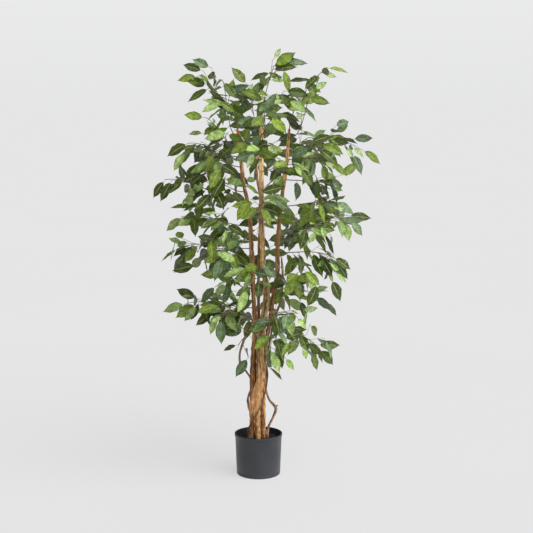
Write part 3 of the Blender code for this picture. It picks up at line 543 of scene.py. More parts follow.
def make_stem(name, sides, step, knots, seed, depth, *bark):
    """A round wooden piece with bark relief on the route of its CAD node, sawn off at its top."""
    route = smooth_route(ring_rows(name), step)
    length = run_length(route[:, :3])
    relief = bark_relief(length, sides, seed, depth)
    hills, knot = knot_relief(route, sides, knots)
    radius = route[:, 3, None] * (1 + relief) + hills
    rings = swept(route[:, :3], radius)
    centre = rings[-1].mean(axis=0)
    run = route[-1, :3] - route[-2, :3]
    rise = run / np.linalg.norm(run) * CUT_EDGE
    cut_rings = [centre + (rings[-1] - centre) * share + rise * lift for share, lift in CUT_RINGS]
    points, faces = closed(np.concatenate([rings, cut_rings]))
    piece = new_piece(name + "_bark", points, faces, [fibre_bark(name + "_wood", *bark)], STEM_CREASE)
    angle = even_angles(sides)[None, :]
    reach = np.vstack([radius, *(radius[-1:] * share for share, _ in CUT_RINGS)])
    along = np.r_[length, length[-1:], length[-1:]][:, None] + 0.37 * seed
    grain = np.stack(np.broadcast_arrays(reach * np.cos(angle), reach * np.sin(angle), along), axis=-1)
    poles = [(0.0, 0.0, along[0, 0]), (0.0, 0.0, along[-1, 0])]
    new_layer(piece, "grain", np.vstack([grain.reshape(-1, 3), poles]) + (seed * 0.11, 0.0, 0.0))
    form = np.zeros((len(points), 3))
    form[len(points) - 2 - 2 * sides:, 0] = 1.0
    form[len(points) - 2, 0] = 0.0
    # The form's second number is how sunk the bark is there, for its painted shade.
    form[:knot.size, 1] = sunk_shade_of(relief, depth)
    form[:knot.size, 2] = knot.ravel()
    new_layer(piece, "form", form)
    set_on_frame(piece, name)


for name, row in STEMS.items():
    make_stem(name, STEM_SIDES, STEM_STEP, KNOTS[name], *row)

# Lianas and vine: thin natural climbers wound round the bundle of stems by hand, their ends
# tucked behind it and their feet in the filling. Two have a cut stub. A strand whose bark is
# darkened to near black as painted shade fills the slit behind the bundle, a stout one crosses
# it, and a rootlet leans on the right stem's foot.
LIANA_SIDES = 16
LIANA_STEP = 0.003
STUB_SIDES = 8
STUB_RINGS = 6
STUB_RELIEF = 0.20
STRAND_RELIEF = 0.16
STRAND_SEED = 3
STRAND_CREASE = 50
#     node: seed, depth of the relief, dark crease that is also laid in sunk places as painted
#     shade, brown bark, pale fibre, share of rusty patches
LIANAS = {
    "liana_left": (31, 0.13, (0.045, 0.020, 0.010), (0.26, 0.140, 0.080), (0.50, 0.35, 0.23), 0.25),
    "liana_right": (32, 0.13, (0.050, 0.022, 0.012), (0.30, 0.165, 0.098), (0.60, 0.43, 0.29), 0.25),
    "vine": (33, 0.12, (0.025, 0.011, 0.006), (0.12, 0.055, 0.028), (0.27, 0.145, 0.080), 0.25),
}
LIANA_KNOTS = {
    "liana_left": [(0.505, 180, 0.001), (0.398, 200, 0.0012), (0.262, 190, 0.001)],
    "liana_right": [(0.612, 350, 0.0012), (0.706, 20, 0.001)],
    "vine": [(0.322, 300, 0.0008)],
}
#   piece: the liana it grows on, its height there, its heading, length, and radii at root and end
STUBS = {
    "liana_right_stub": ("liana_right", 0.2465, (1.0, -0.25, 0.30), 0.0125, (0.0036, 0.0017)),
    "liana_left_stub": ("liana_left", 0.517, (-0.8, -0.2, 0.75), 0.0120, (0.0024, 0.0011)),
}
#     wood of the strands: dark crease that is also laid in sunk places as painted shade, brown
#     bark, pale fibre, share of rusty patches
STRAND_WOODS = {
    # The first wood is near black, as painted shade in the slit behind the bundle.
    "painted_shade": ((0.010, 0.005, 0.003), (0.075, 0.034, 0.016), (0.17, 0.090, 0.045), 0.20),
    "stout": ((0.040, 0.014, 0.005), (0.48, 0.225, 0.092), (0.72, 0.430, 0.205), 0.55),
}
#   piece: the wood whose bark it has, its sides, and rows of x, y, z and radius
STRANDS = {
    "back_shade_strand": ("painted_shade", 8, [(-0.013, 0.014, 0.127, 0.0042), (-0.0135, 0.015, 0.2, 0.0042),
        (-0.0125, 0.016, 0.26, 0.0044), (-0.012, 0.0165, 0.32, 0.0046), (-0.0105, 0.0165, 0.38, 0.0046),
        (-0.009, 0.0165, 0.44, 0.0038), (-0.008, 0.016, 0.495, 0.0026)]),
    "crossing_strand": ("stout", 24, [(0.006, -0.014, 0.362, 0.006), (0.001, -0.0195, 0.34, 0.008),
        (-0.006, -0.0225, 0.318, 0.0088), (-0.013, -0.0225, 0.298, 0.009), (-0.019, -0.02, 0.278, 0.009),
        (-0.0228, -0.0165, 0.258, 0.0088), (-0.0236, -0.012, 0.238, 0.0084),
        (-0.023, -0.007, 0.218, 0.0078), (-0.0222, -0.0015, 0.2, 0.0066),
        (-0.0222, 0.001, 0.186, 0.0048)]),
    "rootlet": ("liana_left", 8, [(0.0265, -0.004, 0.127, 0.0024), (0.029, -0.006, 0.142, 0.0023),
        (0.0275, -0.0066, 0.153, 0.0019), (0.0285, -0.007, 0.162, 0.0011)]),
}


def make_strand(name, wood, sides, path, radius, depth):
    """A piece on a path with bark relief, cut off at its end, with the same two attributes."""
    relief = bark_relief(run_length(path), sides, STRAND_SEED, depth)
    points, faces = closed(swept(path, radius[:, None] * (1 + relief)))
    piece = new_piece(name, points, faces, [bpy.data.materials[wood + "_wood"]], STRAND_CREASE)
    new_layer(piece, "grain", points)
    form = np.zeros((len(points), 3))
    form[:relief.size, 1] = sunk_shade_of(relief, depth)
    form[-1, 0] = 1.0
    new_layer(piece, "form", form)
    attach(piece, "root")


for name, row in LIANAS.items():
    make_stem(name, LIANA_SIDES, LIANA_STEP, LIANA_KNOTS[name], *row)

for name, (liana, height, heading, reach, radii) in STUBS.items():
    route = smooth_route(ring_rows(liana), LIANA_STEP)
    root = route[np.abs(route[:, 2] - height).argmin(), :3]
    heading = np.array(heading) / np.linalg.norm(heading)
    path = root + heading * np.linspace(0.0, reach, STUB_RINGS)[:, None]
    make_strand(name, liana, STUB_SIDES, path, np.linspace(*radii, STUB_RINGS), STUB_RELIEF)

for wood, bark in STRAND_WOODS.items():
    fibre_bark(wood + "_wood", *bark)
for name, (wood, sides, rows) in STRANDS.items():
    route = smooth_route(np.array(rows), LIANA_STEP)
    make_strand(name, wood, sides, route[:, :3], route[:, 3], STRAND_RELIEF)

# Leafy branches: 47 bought sprays, each one piece of wrapped wire and fabric leaves. Each row
# gives its stem, the height at which it leaves it, and the tip of its wire and then of each
# twig as x, y, z, all in millimetres and as the CAD part has them.
BRANCHES = {
    "branch_top_spire": ("stem_middle", 1300, (55, -20, 1440), (50, 20, 1460), (95, 0, 1450),
        (85, -60, 1430)),
    "branch_top_right": ("stem_right", 1300, (235, 20, 1435), (155, -30, 1355), (220, 60, 1420)),
    "branch_top_right_low": ("stem_right", 1195, (185, -70, 1355), (165, -100, 1335), (145, -20, 1310)),
    "branch_top_mid": ("stem_middle", 1235, (90, -80, 1355), (100, -120, 1325), (35, -50, 1325)),
    "branch_top_left_far": ("stem_left", 1300, (-205, 30, 1405), (-190, 60, 1425), (-170, -10, 1365),
        (-160, 20, 1435)),
    "branch_top_left_near": ("stem_left", 1200, (-120, -100, 1390), (-135, -140, 1325),
        (-90, -40, 1375)),
    "branch_top_centre_left": ("stem_middle", 1215, (-40, 60, 1380), (-20, 100, 1340), (-55, 40, 1330)),
    "branch_top_back": ("stem_middle", 1190, (15, 180, 1365), (60, 200, 1345), (-30, 160, 1325)),
    "branch_top_front": ("stem_middle", 1205, (15, -150, 1285), (40, -170, 1270), (-10, -120, 1265)),
    "branch_left_high": ("stem_left", 1165, (-180, -40, 1265), (-185, -20, 1210), (-100, -100, 1215)),
    "branch_left_high_out": ("stem_left", 1130, (-245, 30, 1175), (-250, 0, 1150), (-200, 60, 1180),
        (-155, 0, 1165)),
    "branch_left_high_front": ("stem_left", 1095, (-170, -140, 1125), (-150, -100, 1150),
        (-120, -170, 1105)),
    "branch_left_up_mid": ("stem_left", 980, (-325, 20, 1050), (-300, -30, 1050), (-260, 40, 1070),
        (-190, -20, 1080)),
    "branch_left_up_front": ("stem_left", 1010, (-180, -120, 1055), (-155, -90, 1060),
        (-105, -160, 1075)),
    "branch_back_left_high": ("stem_left", 1060, (-165, 200, 1145), (-130, 240, 1180),
        (-190, 160, 1095)),
    "branch_left_mid": ("stem_left", 890, (-265, -30, 925), (-225, 0, 960), (-225, -60, 935)),
    "branch_left_mid_front": ("stem_left", 850, (-145, -150, 930), (-125, -190, 950), (-100, -200, 905)),
    "branch_left_low_out": ("stem_left", 810, (-285, 50, 805), (-270, 80, 815), (-255, 20, 795),
        (-220, 0, 750)),
    "branch_left_low_front": ("stem_left", 780, (-150, -150, 825), (-120, -180, 805), (-90, -120, 820)),
    "branch_left_low_mid": ("stem_left", 660, (-125, -60, 730), (-105, -100, 705), (-150, -20, 680)),
    "branch_back_left_mid": ("stem_left", 730, (-140, 220, 825), (-110, 250, 855), (-170, 180, 775)),
    "branch_left_bottom_out": ("stem_left", 600, (-260, 20, 610), (-220, 50, 625), (-215, -30, 615)),
    "branch_left_bottom_front": ("stem_left", 570, (-140, -90, 590), (-130, -120, 630), (-160, -50, 595),
        (-125, -140, 590)),
    "branch_left_bottom_in": ("stem_left", 520, (-70, -40, 475), (-55, -80, 545), (-35, -30, 425)),
    "branch_back_left_low": ("stem_back", 550, (-105, 180, 555), (-135, 220, 590), (-65, 160, 520)),
    "branch_right_high_out": ("stem_right", 1150, (325, 0, 1190), (265, 40, 1210), (325, -40, 1140),
        (365, 20, 1150)),
    "branch_right_high_front": ("stem_right", 1120, (245, -120, 1115), (200, -150, 1165),
        (210, -90, 1180), (175, -120, 1185)),
    "branch_right_high_mid": ("stem_middle", 1080, (140, -180, 1105), (105, -200, 1135),
        (85, -160, 1085)),
    "branch_back_right_high": ("stem_right", 1135, (195, 200, 1190), (230, 220, 1145), (145, 180, 1210)),
    "branch_right_up_mid": ("stem_right", 1050, (250, 50, 1015), (230, 80, 1055), (210, 20, 995)),
    "branch_right_up_front": ("stem_right", 960, (245, -100, 970), (260, -70, 980), (200, -140, 990)),
    "branch_right_mid": ("stem_right", 850, (315, 20, 925), (320, -20, 910), (305, 60, 900)),
    "branch_right_mid_front": ("stem_right", 820, (210, -160, 915), (205, -120, 890), (160, -200, 910)),
    "branch_back_right_mid": ("stem_right", 835, (170, 220, 890), (205, 240, 940), (140, 180, 850)),
    "branch_right_low_out": ("stem_right", 795, (260, -40, 785), (270, 0, 765), (260, -80, 740),
        (255, -20, 705)),
    "branch_right_low_front": ("stem_right", 670, (135, -140, 735), (155, -170, 760), (205, -120, 705)),
    "branch_right_low_back": ("stem_right", 640, (195, 100, 640), (230, 140, 605), (150, 80, 615)),
    "branch_right_bottom_front": ("stem_middle", 570, (100, -120, 605), (130, -140, 595),
        (150, -80, 605), (40, -100, 575)),
    "branch_right_bottom_out": ("stem_right", 540, (220, 20, 445), (210, 50, 455), (185, -20, 445),
        (155, -50, 485)),
    "branch_right_bottom_in": ("stem_middle", 470, (60, -100, 515), (95, -60, 435), (40, -120, 475),
        (45, -140, 535)),
    "branch_back_right_low": ("stem_back", 668, (100, 200, 600), (140, 220, 645), (65, 180, 575)),
    "branch_front_high": ("stem_middle", 1120, (-10, -200, 1160), (25, -220, 1180), (-35, -180, 1190)),
    "branch_front_mid": ("stem_middle", 930, (10, -240, 980), (-25, -220, 1000), (45, -200, 1010)),
    "branch_front_low": ("stem_middle", 690, (-25, -200, 765), (15, -230, 795), (-70, -170, 785)),
    "branch_back_high": ("stem_back", 1090, (15, 250, 1145), (-30, 220, 1175), (65, 220, 1175)),
    "branch_back_mid": ("stem_back", 890, (20, 280, 918), (-45, 250, 940), (80, 250, 945)),
    "branch_back_low": ("stem_back", 680, (0, 260, 765), (50, 240, 790), (-50, 220, 735)),
}

# Wires: steel wire wrapped in brown paper tape, glued into a hole in the stem or into its sawn
# top, and forked into twigs. Thinner towards each tip, and paler on some twigs and every shoot.
#   kind: its sides, its radii at root and tip, and the colour of its tape
WIRES = {
    "wire": (6, (0.0018, 0.0010), (0.22, 0.155, 0.125)),
    "twig": (5, (0.0011, 0.0007), (0.28, 0.205, 0.165)),
    "pale twig": (5, (0.0011, 0.0007), (0.48, 0.44, 0.25)),
    "shoot": (5, (0.0009, 0.0006), (0.48, 0.44, 0.25)),
}
WIRE_STATIONS = np.linspace(0.0, 1.0, 15)
TWIG_STATIONS = np.linspace(0.0, 1.0, 9)
WIRE_SUNK = 0.0035
TOUCH_GAP = 0.0003
# Each is a cubic curve: as shares of its reach, how far it runs on in its first direction, how
# near its tip the second handle is, and how high it arches
WIRE_BEND = (0.28, 0.65, 0.14)
TWIG_BEND = (0.35, 0.60, 0.08)
# A twig forks off this much before the wire's nearest point, inside this stretch of the wire
FORK_LEAD = 0.28
FORK_RANGE = (0.20, 0.86)
UP = np.array([0.0, 0.0, 1.0])


def unit(vector):
    """The vector at length one."""
    return vector / np.linalg.norm(vector, axis=-1, keepdims=True)


def arched(start, lean, goal, bend, t):
    """Points at the parameters t of a cubic curve that leaves along lean and arches to its goal.

    (1-t)^3 start + 3 (1-t)^2 t first + 3 (1-t) t^2 second + t^3 goal, where first lies on lean
    and second between start and goal, raised by the arch.
    """
    run_on, near, arch = bend
    reach = np.linalg.norm(goal - start)
    first = start + lean * run_on * reach
    second = (1 - near) * start + near * goal + UP * arch * reach
    t = np.asarray(t, float)[:, None]
    return (1 - t)**3 * start + 3 * (1 - t)**2 * t * first + 3 * (1 - t) * t**2 * second + t**3 * goal


def butt_on_stem(stem, height, goal):
    """Where a branch meets its stem, just off the CAD surface, and the direction it leaves in."""
    route = routes[stem]
    if height > route[-1, 2]:
        return route[-1, :3] + UP * TOUCH_GAP, UP
    centre = read_off(height, route[:, 2], route)[:3]
    level = unit((goal - centre) * (1, 1, 0))
    spot, normal, _, _ = surfaces[stem].ray_cast(Vector(centre), Vector(level))
    return np.array(spot) + np.array(normal) * TOUCH_GAP, np.array(normal)


def branch_wires(start, leave, tips):
    """The paths of the main wire and of each twig, which forks off before the wire's nearest point."""
    main = arched(start, leave, tips[0], WIRE_BEND, WIRE_STATIONS)
    paths = [np.vstack([start - leave * WIRE_SUNK, main])]
    steps = np.linspace(0.0, 1.0, 41)
    along = arched(start, leave, tips[0], WIRE_BEND, steps)
    for tip in tips[1:]:
        nearest = steps[np.linalg.norm(along - tip, axis=1).argmin()]
        fork = float(np.clip(nearest - FORK_LEAD, *FORK_RANGE))
        root, ahead = arched(start, leave, tips[0], WIRE_BEND, (fork, fork + 0.01))
        lean = unit(unit(ahead - root) + unit(tip - root))
        paths.append(arched(root, lean, tip, TWIG_BEND, TWIG_STATIONS))
    return paths


def cad_shape(node):
    """The points and faces of a CAD node."""
    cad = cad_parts[node].data
    return [tuple(point.co) for point in cad.vertices], [face.vertices[:] for face in cad.polygons]


routes = {name: ring_rows(name) for name in (*STEMS, *LIANAS)}
surfaces = {name: BVHTree.FromPolygons(*cad_shape(name)) for name in STEMS}

wrapped_wire, tree, shader = new_finish("wrapped_wire")
place = object_place(tree)
taped = mottled(tree, place, 90.0, 4.0, 0.38, 0.66)
tape = add_node(tree, "Attribute", {}, attribute_name="tint").outputs["Color"]
colour = tinted(tree, tape, colour_between(tree, taped, (0.60, 0.56, 0.52), (1.25, 1.22, 1.20)))
stained = mottled(tree, place, 14.0, 2.0, 0.45, 0.60)
colour = layered(tree, colour, [(stained, 0.35, (0.17, 0.165, 0.070))])
dress(tree, shader, colour, 0.72, taped, 0.5, 0.0004)

# Leaves: printed polyester fabric with a pressed midrib, heat-cut to an oval with a drip tip,
# each glued on a short wire stalk. Deep green, mid green, bluish green whose grey cast is painted
# sheen, and small pale young ones.
BLADE_STATIONS = np.array([0.05, 0.16, 0.30, 0.46, 0.62, 0.76, 0.86, 0.92])
BLADE_WIDTHS = np.array([0.32, 0.68, 0.89, 0.95, 0.84, 0.56, 0.25, 0.08])
BLADE_ACROSS = np.array([-1.0, -0.5, 0.0, 0.5, 1.0])
BLADE_THICK = 0.0005
BLADE_PRESSED = 0.0010
RIM_WAVE = 0.0022
SCALLOP = 0.06
# The CAD leaves: their neck, three edge pairs and tip as shares of the length, the widths of the
# pairs from the tip, the keel's depth and place, and the share by which widths may differ
CAD_STATIONS = np.array([0.0, 0.22, 0.50, 0.79, 1.0])
CAD_WIDTHS = np.array([0.54, 1.00, 0.80])
CAD_KEEL = 0.0012
CAD_KEEL_STATION = 0.45
CAD_SLACK = 0.05
SHORTEST_LEAF = 0.03
# Weights of the three middles, from the tip, in the point where the curve through them starts
START_OF_CURVE = np.array([0.6655, -2.1404, 2.4749])
# A stalk ends this far inside its blade, and starts on the wire nearest to this far behind it
STALK_RADII = (0.0008, 0.0006)
STALK_TONE = (0.27, 0.24, 0.12)
STALK_SUNK = 0.002
STALK_BACK = 0.010
YOUNG_BELOW = 0.057
#     tone: colour, and its share among the grown leaves. The bluish one's grey cast and the greyer
#     fresh colour are partly painted sheen
TONES = {
    "deep": ((0.056, 0.096, 0.004), 0.32),
    "mid": ((0.158, 0.250, 0.018), 0.38),
    "blue_sheen": ((0.125, 0.210, 0.094), 0.18),
    "fresh": ((0.285, 0.440, 0.125), 0.12),
}
# Young leaves: a pale greyish end, partly painted sheen, and a saturated green end
YOUNG = ((0.46, 0.64, 0.280), (0.25, 0.44, 0.080))
TONE_SPREAD = (0.79, 1.70)
# Leaves this far from the pot's axis are as often fresh as the shares say, twice as often further
# out, and seldom near the stems
FRESH_REACH = 0.13


def neck_of(corners):
    """The middle of the neck of one leaf's corners, or of many leaves'."""
    return 0.5 * (corners[..., 4, :] + corners[..., 6, :])


def cad_leaves(node):
    """The corners of each leaf of a CAD branch, as eleven points.

    They are the tip, three edge points, the neck's three points, three edge points and the keel.
    The others lie in a round about the keel, which is walked face by face from the tip, where
    only three edges meet. Where a wire runs into the leaf, the round holds more points than ten,
    and the neck is where the quadratic curve through the middles of the edge pairs starts.
    """
    shape = welded(node)
    leaves = []
    for keel in shape.verts:
        count = len(keel.link_edges)
        if count < 10:
            continue
        loop = keel.link_loops[0]
        around = []
        for _ in range(count):
            around.append(loop.edge.other_vert(keel))
            loop = loop.link_loop_prev.link_loop_radial_next
        for first, tip in enumerate(around):
            ring = [around[(first + step) % count].co for step in (0, 1, 2, 3, 4, 5, -4, -3, -2, -1)]
            corners = np.array(ring + [keel.co])
            if count > 10:
                corners[4:7] = START_OF_CURVE @ (0.5 * (corners[1:4] + corners[9:6:-1]))
            if len(tip.link_edges) == 3 and fits_a_leaf(corners, neck_of(corners)):
                leaves.append(corners)
                break
    shape.free()
    return np.array(leaves)


def fits_a_leaf(corners, neck):
    """Whether the corners are a leaf's: a long blade, its edge pairs even and of the right widths."""
    length = np.linalg.norm(corners[0] - neck)
    widths = np.linalg.norm(corners[1:4] - corners[9:6:-1], axis=1)
    if length < SHORTEST_LEAF or np.abs(widths / widths[1] - CAD_WIDTHS).max() > CAD_SLACK:
        return False
    half_way = np.linalg.norm(0.5 * (corners[2] + corners[8]) - neck) / length
    return 0.35 < widths[1] / length < 0.62 and 0.4 < half_way < 0.6


def weights(nodes, stations):
    """Lagrange weights: for each station s and node i, the product of (s - j) / (i - j) over the
    other nodes j.
    """
    apart = nodes[:, None] - nodes[None] + np.eye(len(nodes))
    ahead = np.repeat((stations[:, None] - nodes[None])[:, None], len(nodes), axis=1)
    own = np.eye(len(nodes), dtype=bool)
    return np.where(own[None], 1.0, ahead / apart[None]).prod(axis=2)


def leaf_blades(corners, draw):
    """Blades as grids on the CAD leaves, with their necks, tips and undersides.

    Along a leaf the line between its edges is the curve through the middles of its CAD edge
    pairs. Across it, a point at q from -1 to 1 is that line + q * half width * side, sunk by
    fold * half width * (1 - |q|)^1.2, so that each half bulges up from the midrib. Slow waves
    lift and lower the rim and scallop it.
    """
    count = len(corners)
    neck = neck_of(corners)
    middles = 0.5 * (corners[:, (3, 2, 1)] + corners[:, (7, 8, 9)])
    spine_nodes = np.concatenate([neck[:, None], middles, corners[:, :1]], axis=1)
    halves = 0.5 * (corners[:, (3, 2, 1)] - corners[:, (7, 8, 9)])
    stations = np.r_[BLADE_STATIONS, CAD_KEEL_STATION]
    spine = np.einsum("sk,nkx->nsx", weights(CAD_STATIONS, stations), spine_nodes)
    run = unit(np.gradient(spine[:, :-1], BLADE_STATIONS, axis=1))
    side = np.stack([np.interp(BLADE_STATIONS, CAD_STATIONS[1:4], row)
                     for row in unit(halves).transpose(0, 2, 1).reshape(-1, 3)]).reshape(count, 3, -1)
    side = unit(side.transpose(0, 2, 1))
    face = unit(np.cross(side, run))
    lift = spine[:, -1] - corners[:, 10]
    turned_over = np.einsum("nx,nx->n", lift, face[:, 3]) < 0
    side[turned_over] *= -1
    face[turned_over] *= -1
    spine = spine[:, :-1]
    full = np.linalg.norm(halves[:, 1], axis=1)[:, None]
    fold = (np.abs(np.einsum("nx,nx->n", lift, face[:, 3])) - CAD_KEEL)[:, None] / full
    half = full * BLADE_WIDTHS
    q = BLADE_ACROSS
    wave_phase = draw.uniform(0.0, 2 * math.pi, (count, 1, 4))
    wave_size = draw.uniform(0.2, 1.0, (count, 1, 4)) * (RIM_WAVE, RIM_WAVE, SCALLOP, SCALLOP)
    swing = np.sin(BLADE_STATIONS[None, :, None] * (13.0, 16.0, 17.0, 21.0) + wave_phase) * wave_size
    rim = np.where(q < 0, swing[..., :1], swing[..., 1:2]) * q**2 * BLADE_WIDTHS[:, None]
    reach = 1 + np.where(q < 0, swing[..., 2:3], swing[..., 3:])
    sunk = (fold * half + BLADE_PRESSED * BLADE_WIDTHS)[..., None] * (1 - np.abs(q))**1.2
    top = (spine[:, :, None] + side[:, :, None] * (half[..., None] * q * reach)[..., None]
           + face[:, :, None] * (rim - sunk)[..., None])
    under = top[:, :, 2] - face * BLADE_THICK
    return neck, corners[:, 0], top, under


def blade_faces():
    """The faces of one blade, and the place across and along it of every face corner.

    Points: neck 0, tip 1, the top's grid from 2 on, and then the underside's middle line. The
    underside's places across are moved by 3, so that a material can tell it from the top.
    """
    rows, cols = len(BLADE_STATIONS), len(BLADE_ACROSS)
    grid = 2 + np.arange(rows * cols).reshape(rows, cols)
    line = 2 + rows * cols + np.arange(rows)
    low = np.stack([grid[:, 0], line, grid[:, -1]], axis=1)
    s = np.r_[0.0, 1.0, np.repeat(BLADE_STATIONS, cols), BLADE_STATIONS]
    q = np.r_[0.0, 0.0, np.tile(BLADE_ACROSS, rows), np.zeros(rows)]
    faces, places = [], []
    for sheet, shift in ((grid, 0.0), (low[:, ::-1], 3.0)):
        quads = np.stack([sheet[:-1, :-1], sheet[:-1, 1:], sheet[1:, 1:], sheet[1:, :-1]], axis=-1)
        ends = np.zeros(sheet.shape[1] - 1, int)
        base = np.stack([ends, sheet[0, 1:], sheet[0, :-1]], axis=-1)
        end = np.stack([ends + 1, sheet[-1, :-1], sheet[-1, 1:]], axis=-1)
        for block in (quads.reshape(-1, 4), base, end):
            faces += block.tolist()
            places.append(np.stack([q[block].ravel() + shift, s[block].ravel()], axis=1))
    return faces, np.concatenate(places)


def leaf_stalks(neck, heading, root):
    """Three-sided stalks: rings on the curve (1-t)^2 root + 2 (1-t) t bend + t^2 end.

    The bend lies behind the neck in line with the blade, the end a little inside the blade, and
    t is 0, a half and 1.
    """
    t = np.array([0.0, 0.5, 1.0])[None, :, None]
    bend = neck - heading * (0.55 * np.linalg.norm(neck - root, axis=1, keepdims=True))
    end = neck + heading * STALK_SUNK
    path = (1 - t)**2 * root[:, None] + 2 * (1 - t) * t * bend[:, None] + t**2 * end[:, None]
    run = unit(np.gradient(path, axis=1))
    across = unit(np.cross(run, UP + 0.01))
    up = np.cross(run, across)
    angle = np.array([0.0, 2.0, 4.0]) * math.pi / 3
    radius = np.linspace(*STALK_RADII, 3)[None, :, None, None]
    ring = across[:, :, None] * np.cos(angle)[:, None] + up[:, :, None] * np.sin(angle)[:, None]
    return path[:, :, None] + ring * radius


def stalk_faces():
    """The quads round a stalk's three rings and a triangle at each end."""
    side = np.arange(3)
    after = (side + 1) % 3
    walls = [np.stack([low + side, low + after, low + 3 + after, low + 3 + side], axis=-1) for low in (0, 3)]
    return np.concatenate(walls).tolist() + [[2, 1, 0], [6, 7, 8]]


def leaf_tones(corners, draw):
    """A colour for each leaf: a young one's where it is small, else a seeded tone, varied a little."""
    length = np.linalg.norm(corners[:, 0] - neck_of(corners), axis=1)
    reach = np.linalg.norm(corners[:, 10, :2], axis=1) / FRESH_REACH
    colours, shares = (np.array(column) for column in zip(*TONES.values()))
    weight = np.tile(shares, (len(corners), 1))
    weight[:, -1] *= np.clip(reach, 0.2, 2.0)
    bounds = np.cumsum(weight, axis=1) / weight.sum(axis=1, keepdims=True)
    picked = colours[(draw.random((len(corners), 1)) > bounds[:, :-1]).sum(axis=1)]
    blend = draw.random((len(corners), 1))
    young = np.array(YOUNG[0]) * blend + np.array(YOUNG[1]) * (1 - blend)
    is_young = (length < YOUNG_BELOW) & (draw.random(len(corners)) < 0.35 + 0.35 * reach)
    tone = np.where(is_young[:, None], young, picked)
    return tone * draw.uniform(*TONE_SPREAD, (len(corners), 1))


leaf_fabric, tree, shader = new_finish("leaf_fabric")
shader.inputs["Specular IOR Level"].default_value = 0.36
place = object_place(tree)
tint = add_node(tree, "Attribute", {}, attribute_name="tint").outputs["Color"]
blade = add_node(tree, "UVMap", {}, uv_map="blade").outputs["UV"]
across, along, _ = add_node(tree, "SeparateXYZ", {0: blade}).outputs
underside = in_range(tree, across, 1.4, 1.6)
across = worked_out(tree, "SUBTRACT", across, times(tree, underside, 3.0))
out = worked_out(tree, "ABSOLUTE", across)
printed = mottled(tree, place, 55.0, 5.0, 0.34, 0.68)
vein_step = worked_out(tree, "SUBTRACT", times(tree, along, 10.0), times(tree, out, 1.3))
panel = add_node(tree, "CombineXYZ", {"X": vein_step, "Y": across}).outputs[0]
panel = add_node(tree, "VectorMath", {0: place, 1: (9.0, 9.0, 9.0), 2: panel},
                 operation="MULTIPLY_ADD").outputs[0]
colour = tinted(tree, tint, *(colour_between(tree, *marks) for marks in (
    (printed, (0.68, 0.70, 0.58), (1.09, 1.07, 1.02)),
    (mottled(tree, place, 170.0, 2.0), (0.88, 0.88, 0.84), (1.10, 1.09, 1.12)),
    (mottled(tree, panel, 1.1, 2.0, 0.40, 0.60), (0.78, 0.78, 0.73), (1.24, 1.18, 1.37)))))
vein_saw = worked_out(tree, "SUBTRACT", worked_out(tree, "FRACT", vein_step), 0.5)
veins = in_range(tree, worked_out(tree, "ABSOLUTE", vein_saw), 0.10, 0.03)
midrib = in_range(tree, out, 0.110, 0.040)
printed_well = in_range(tree, mottled(tree, place, 9.0, 1.0, 0.40, 0.60), 0.0, 1.0, 0.28, 0.80)
colour = layered(tree, colour, [
    (veins, 0.40, tinted(tree, colour, (2.3, 1.9, 1.9))),
    (midrib, printed_well, (0.46, 0.48, 0.29)),
    (in_range(tree, out, 0.78, 0.98), 0.80, (0.034, 0.036, 0.010)),
    (in_range(tree, along, 0.90, 0.98), 0.7, (0.050, 0.050, 0.018)),
    (underside, 0.38, (0.165, 0.225, 0.120))])
weave = times(tree, noise(tree, place, 1500.0, 1.0), 0.15)
ribs = worked_out(tree, "SUBTRACT", weave, worked_out(tree, "ADD", midrib, veins))
crinkle = times(tree, noise(tree, place, 95.0), 3.0)
ribs = worked_out(tree, "ADD", times(tree, ribs, 0.25), crinkle)
ribs = worked_out(tree, "ADD", ribs, times(tree, out, 2.6))
dress(tree, shader, colour, in_range(tree, printed, 0.0, 1.0, 0.25, 0.42), ribs, 0.9, 0.0014)

one_blade, one_blade_places = blade_faces()
one_stalk = stalk_faces()

# Side shoots and more leaves: each bought spray has thin shoots between its main twigs, and
# leaves between the larger ones. They stand clear of every solid and of each other.
# Shoots on each branch that leaves its stem below this height, where they fork off as a share of
# the wire, how long they are, how many directions are tried, and the radius kept free round them
SHOOTS_EACH = 2
SHOOTS_BELOW = 1.17
SHOOT_FORKS = (0.22, 0.75)
SHOOT_LENGTH = (0.055, 0.105)
SHOOT_TRIES = 8
SHOOT_ROOM = 0.0016
ROOM_LOOKED_AT = 0.06
# New leaves along a wire: how far apart, the bare stretch at its foot, how near another leaf's
# root they may be, how far a wire's run is measured to each side, and how often one is tried
BUD_SPACING = 0.024
BUD_BARE = 0.022
BUD_APART = 0.012
BUD_REACH = 0.004
BUD_TRIES = 24
# Their lengths, the share of young ones, widths as shares of the length, stalks and heading
BUD_LEAF = (0.064, 0.088)
BUD_YOUNG_LEAF = (0.036, 0.054)
BUD_YOUNG_SHARE = 0.20
BUD_WIDTH = (0.40, 0.50)
BUD_STALK = (0.009, 0.014)
BUD_ANGLE = math.radians(50)
NECK_HALF_WIDTH = 0.0016
# Branches: the seed of the first, points on a wire between two of its rings at which a leaf may
# sit, points of a stalk, and the crease angle
FIRST_SEED = 400
FINE_STEPS = 8
STALK_POINTS = 9
LEAF_CREASE = 130
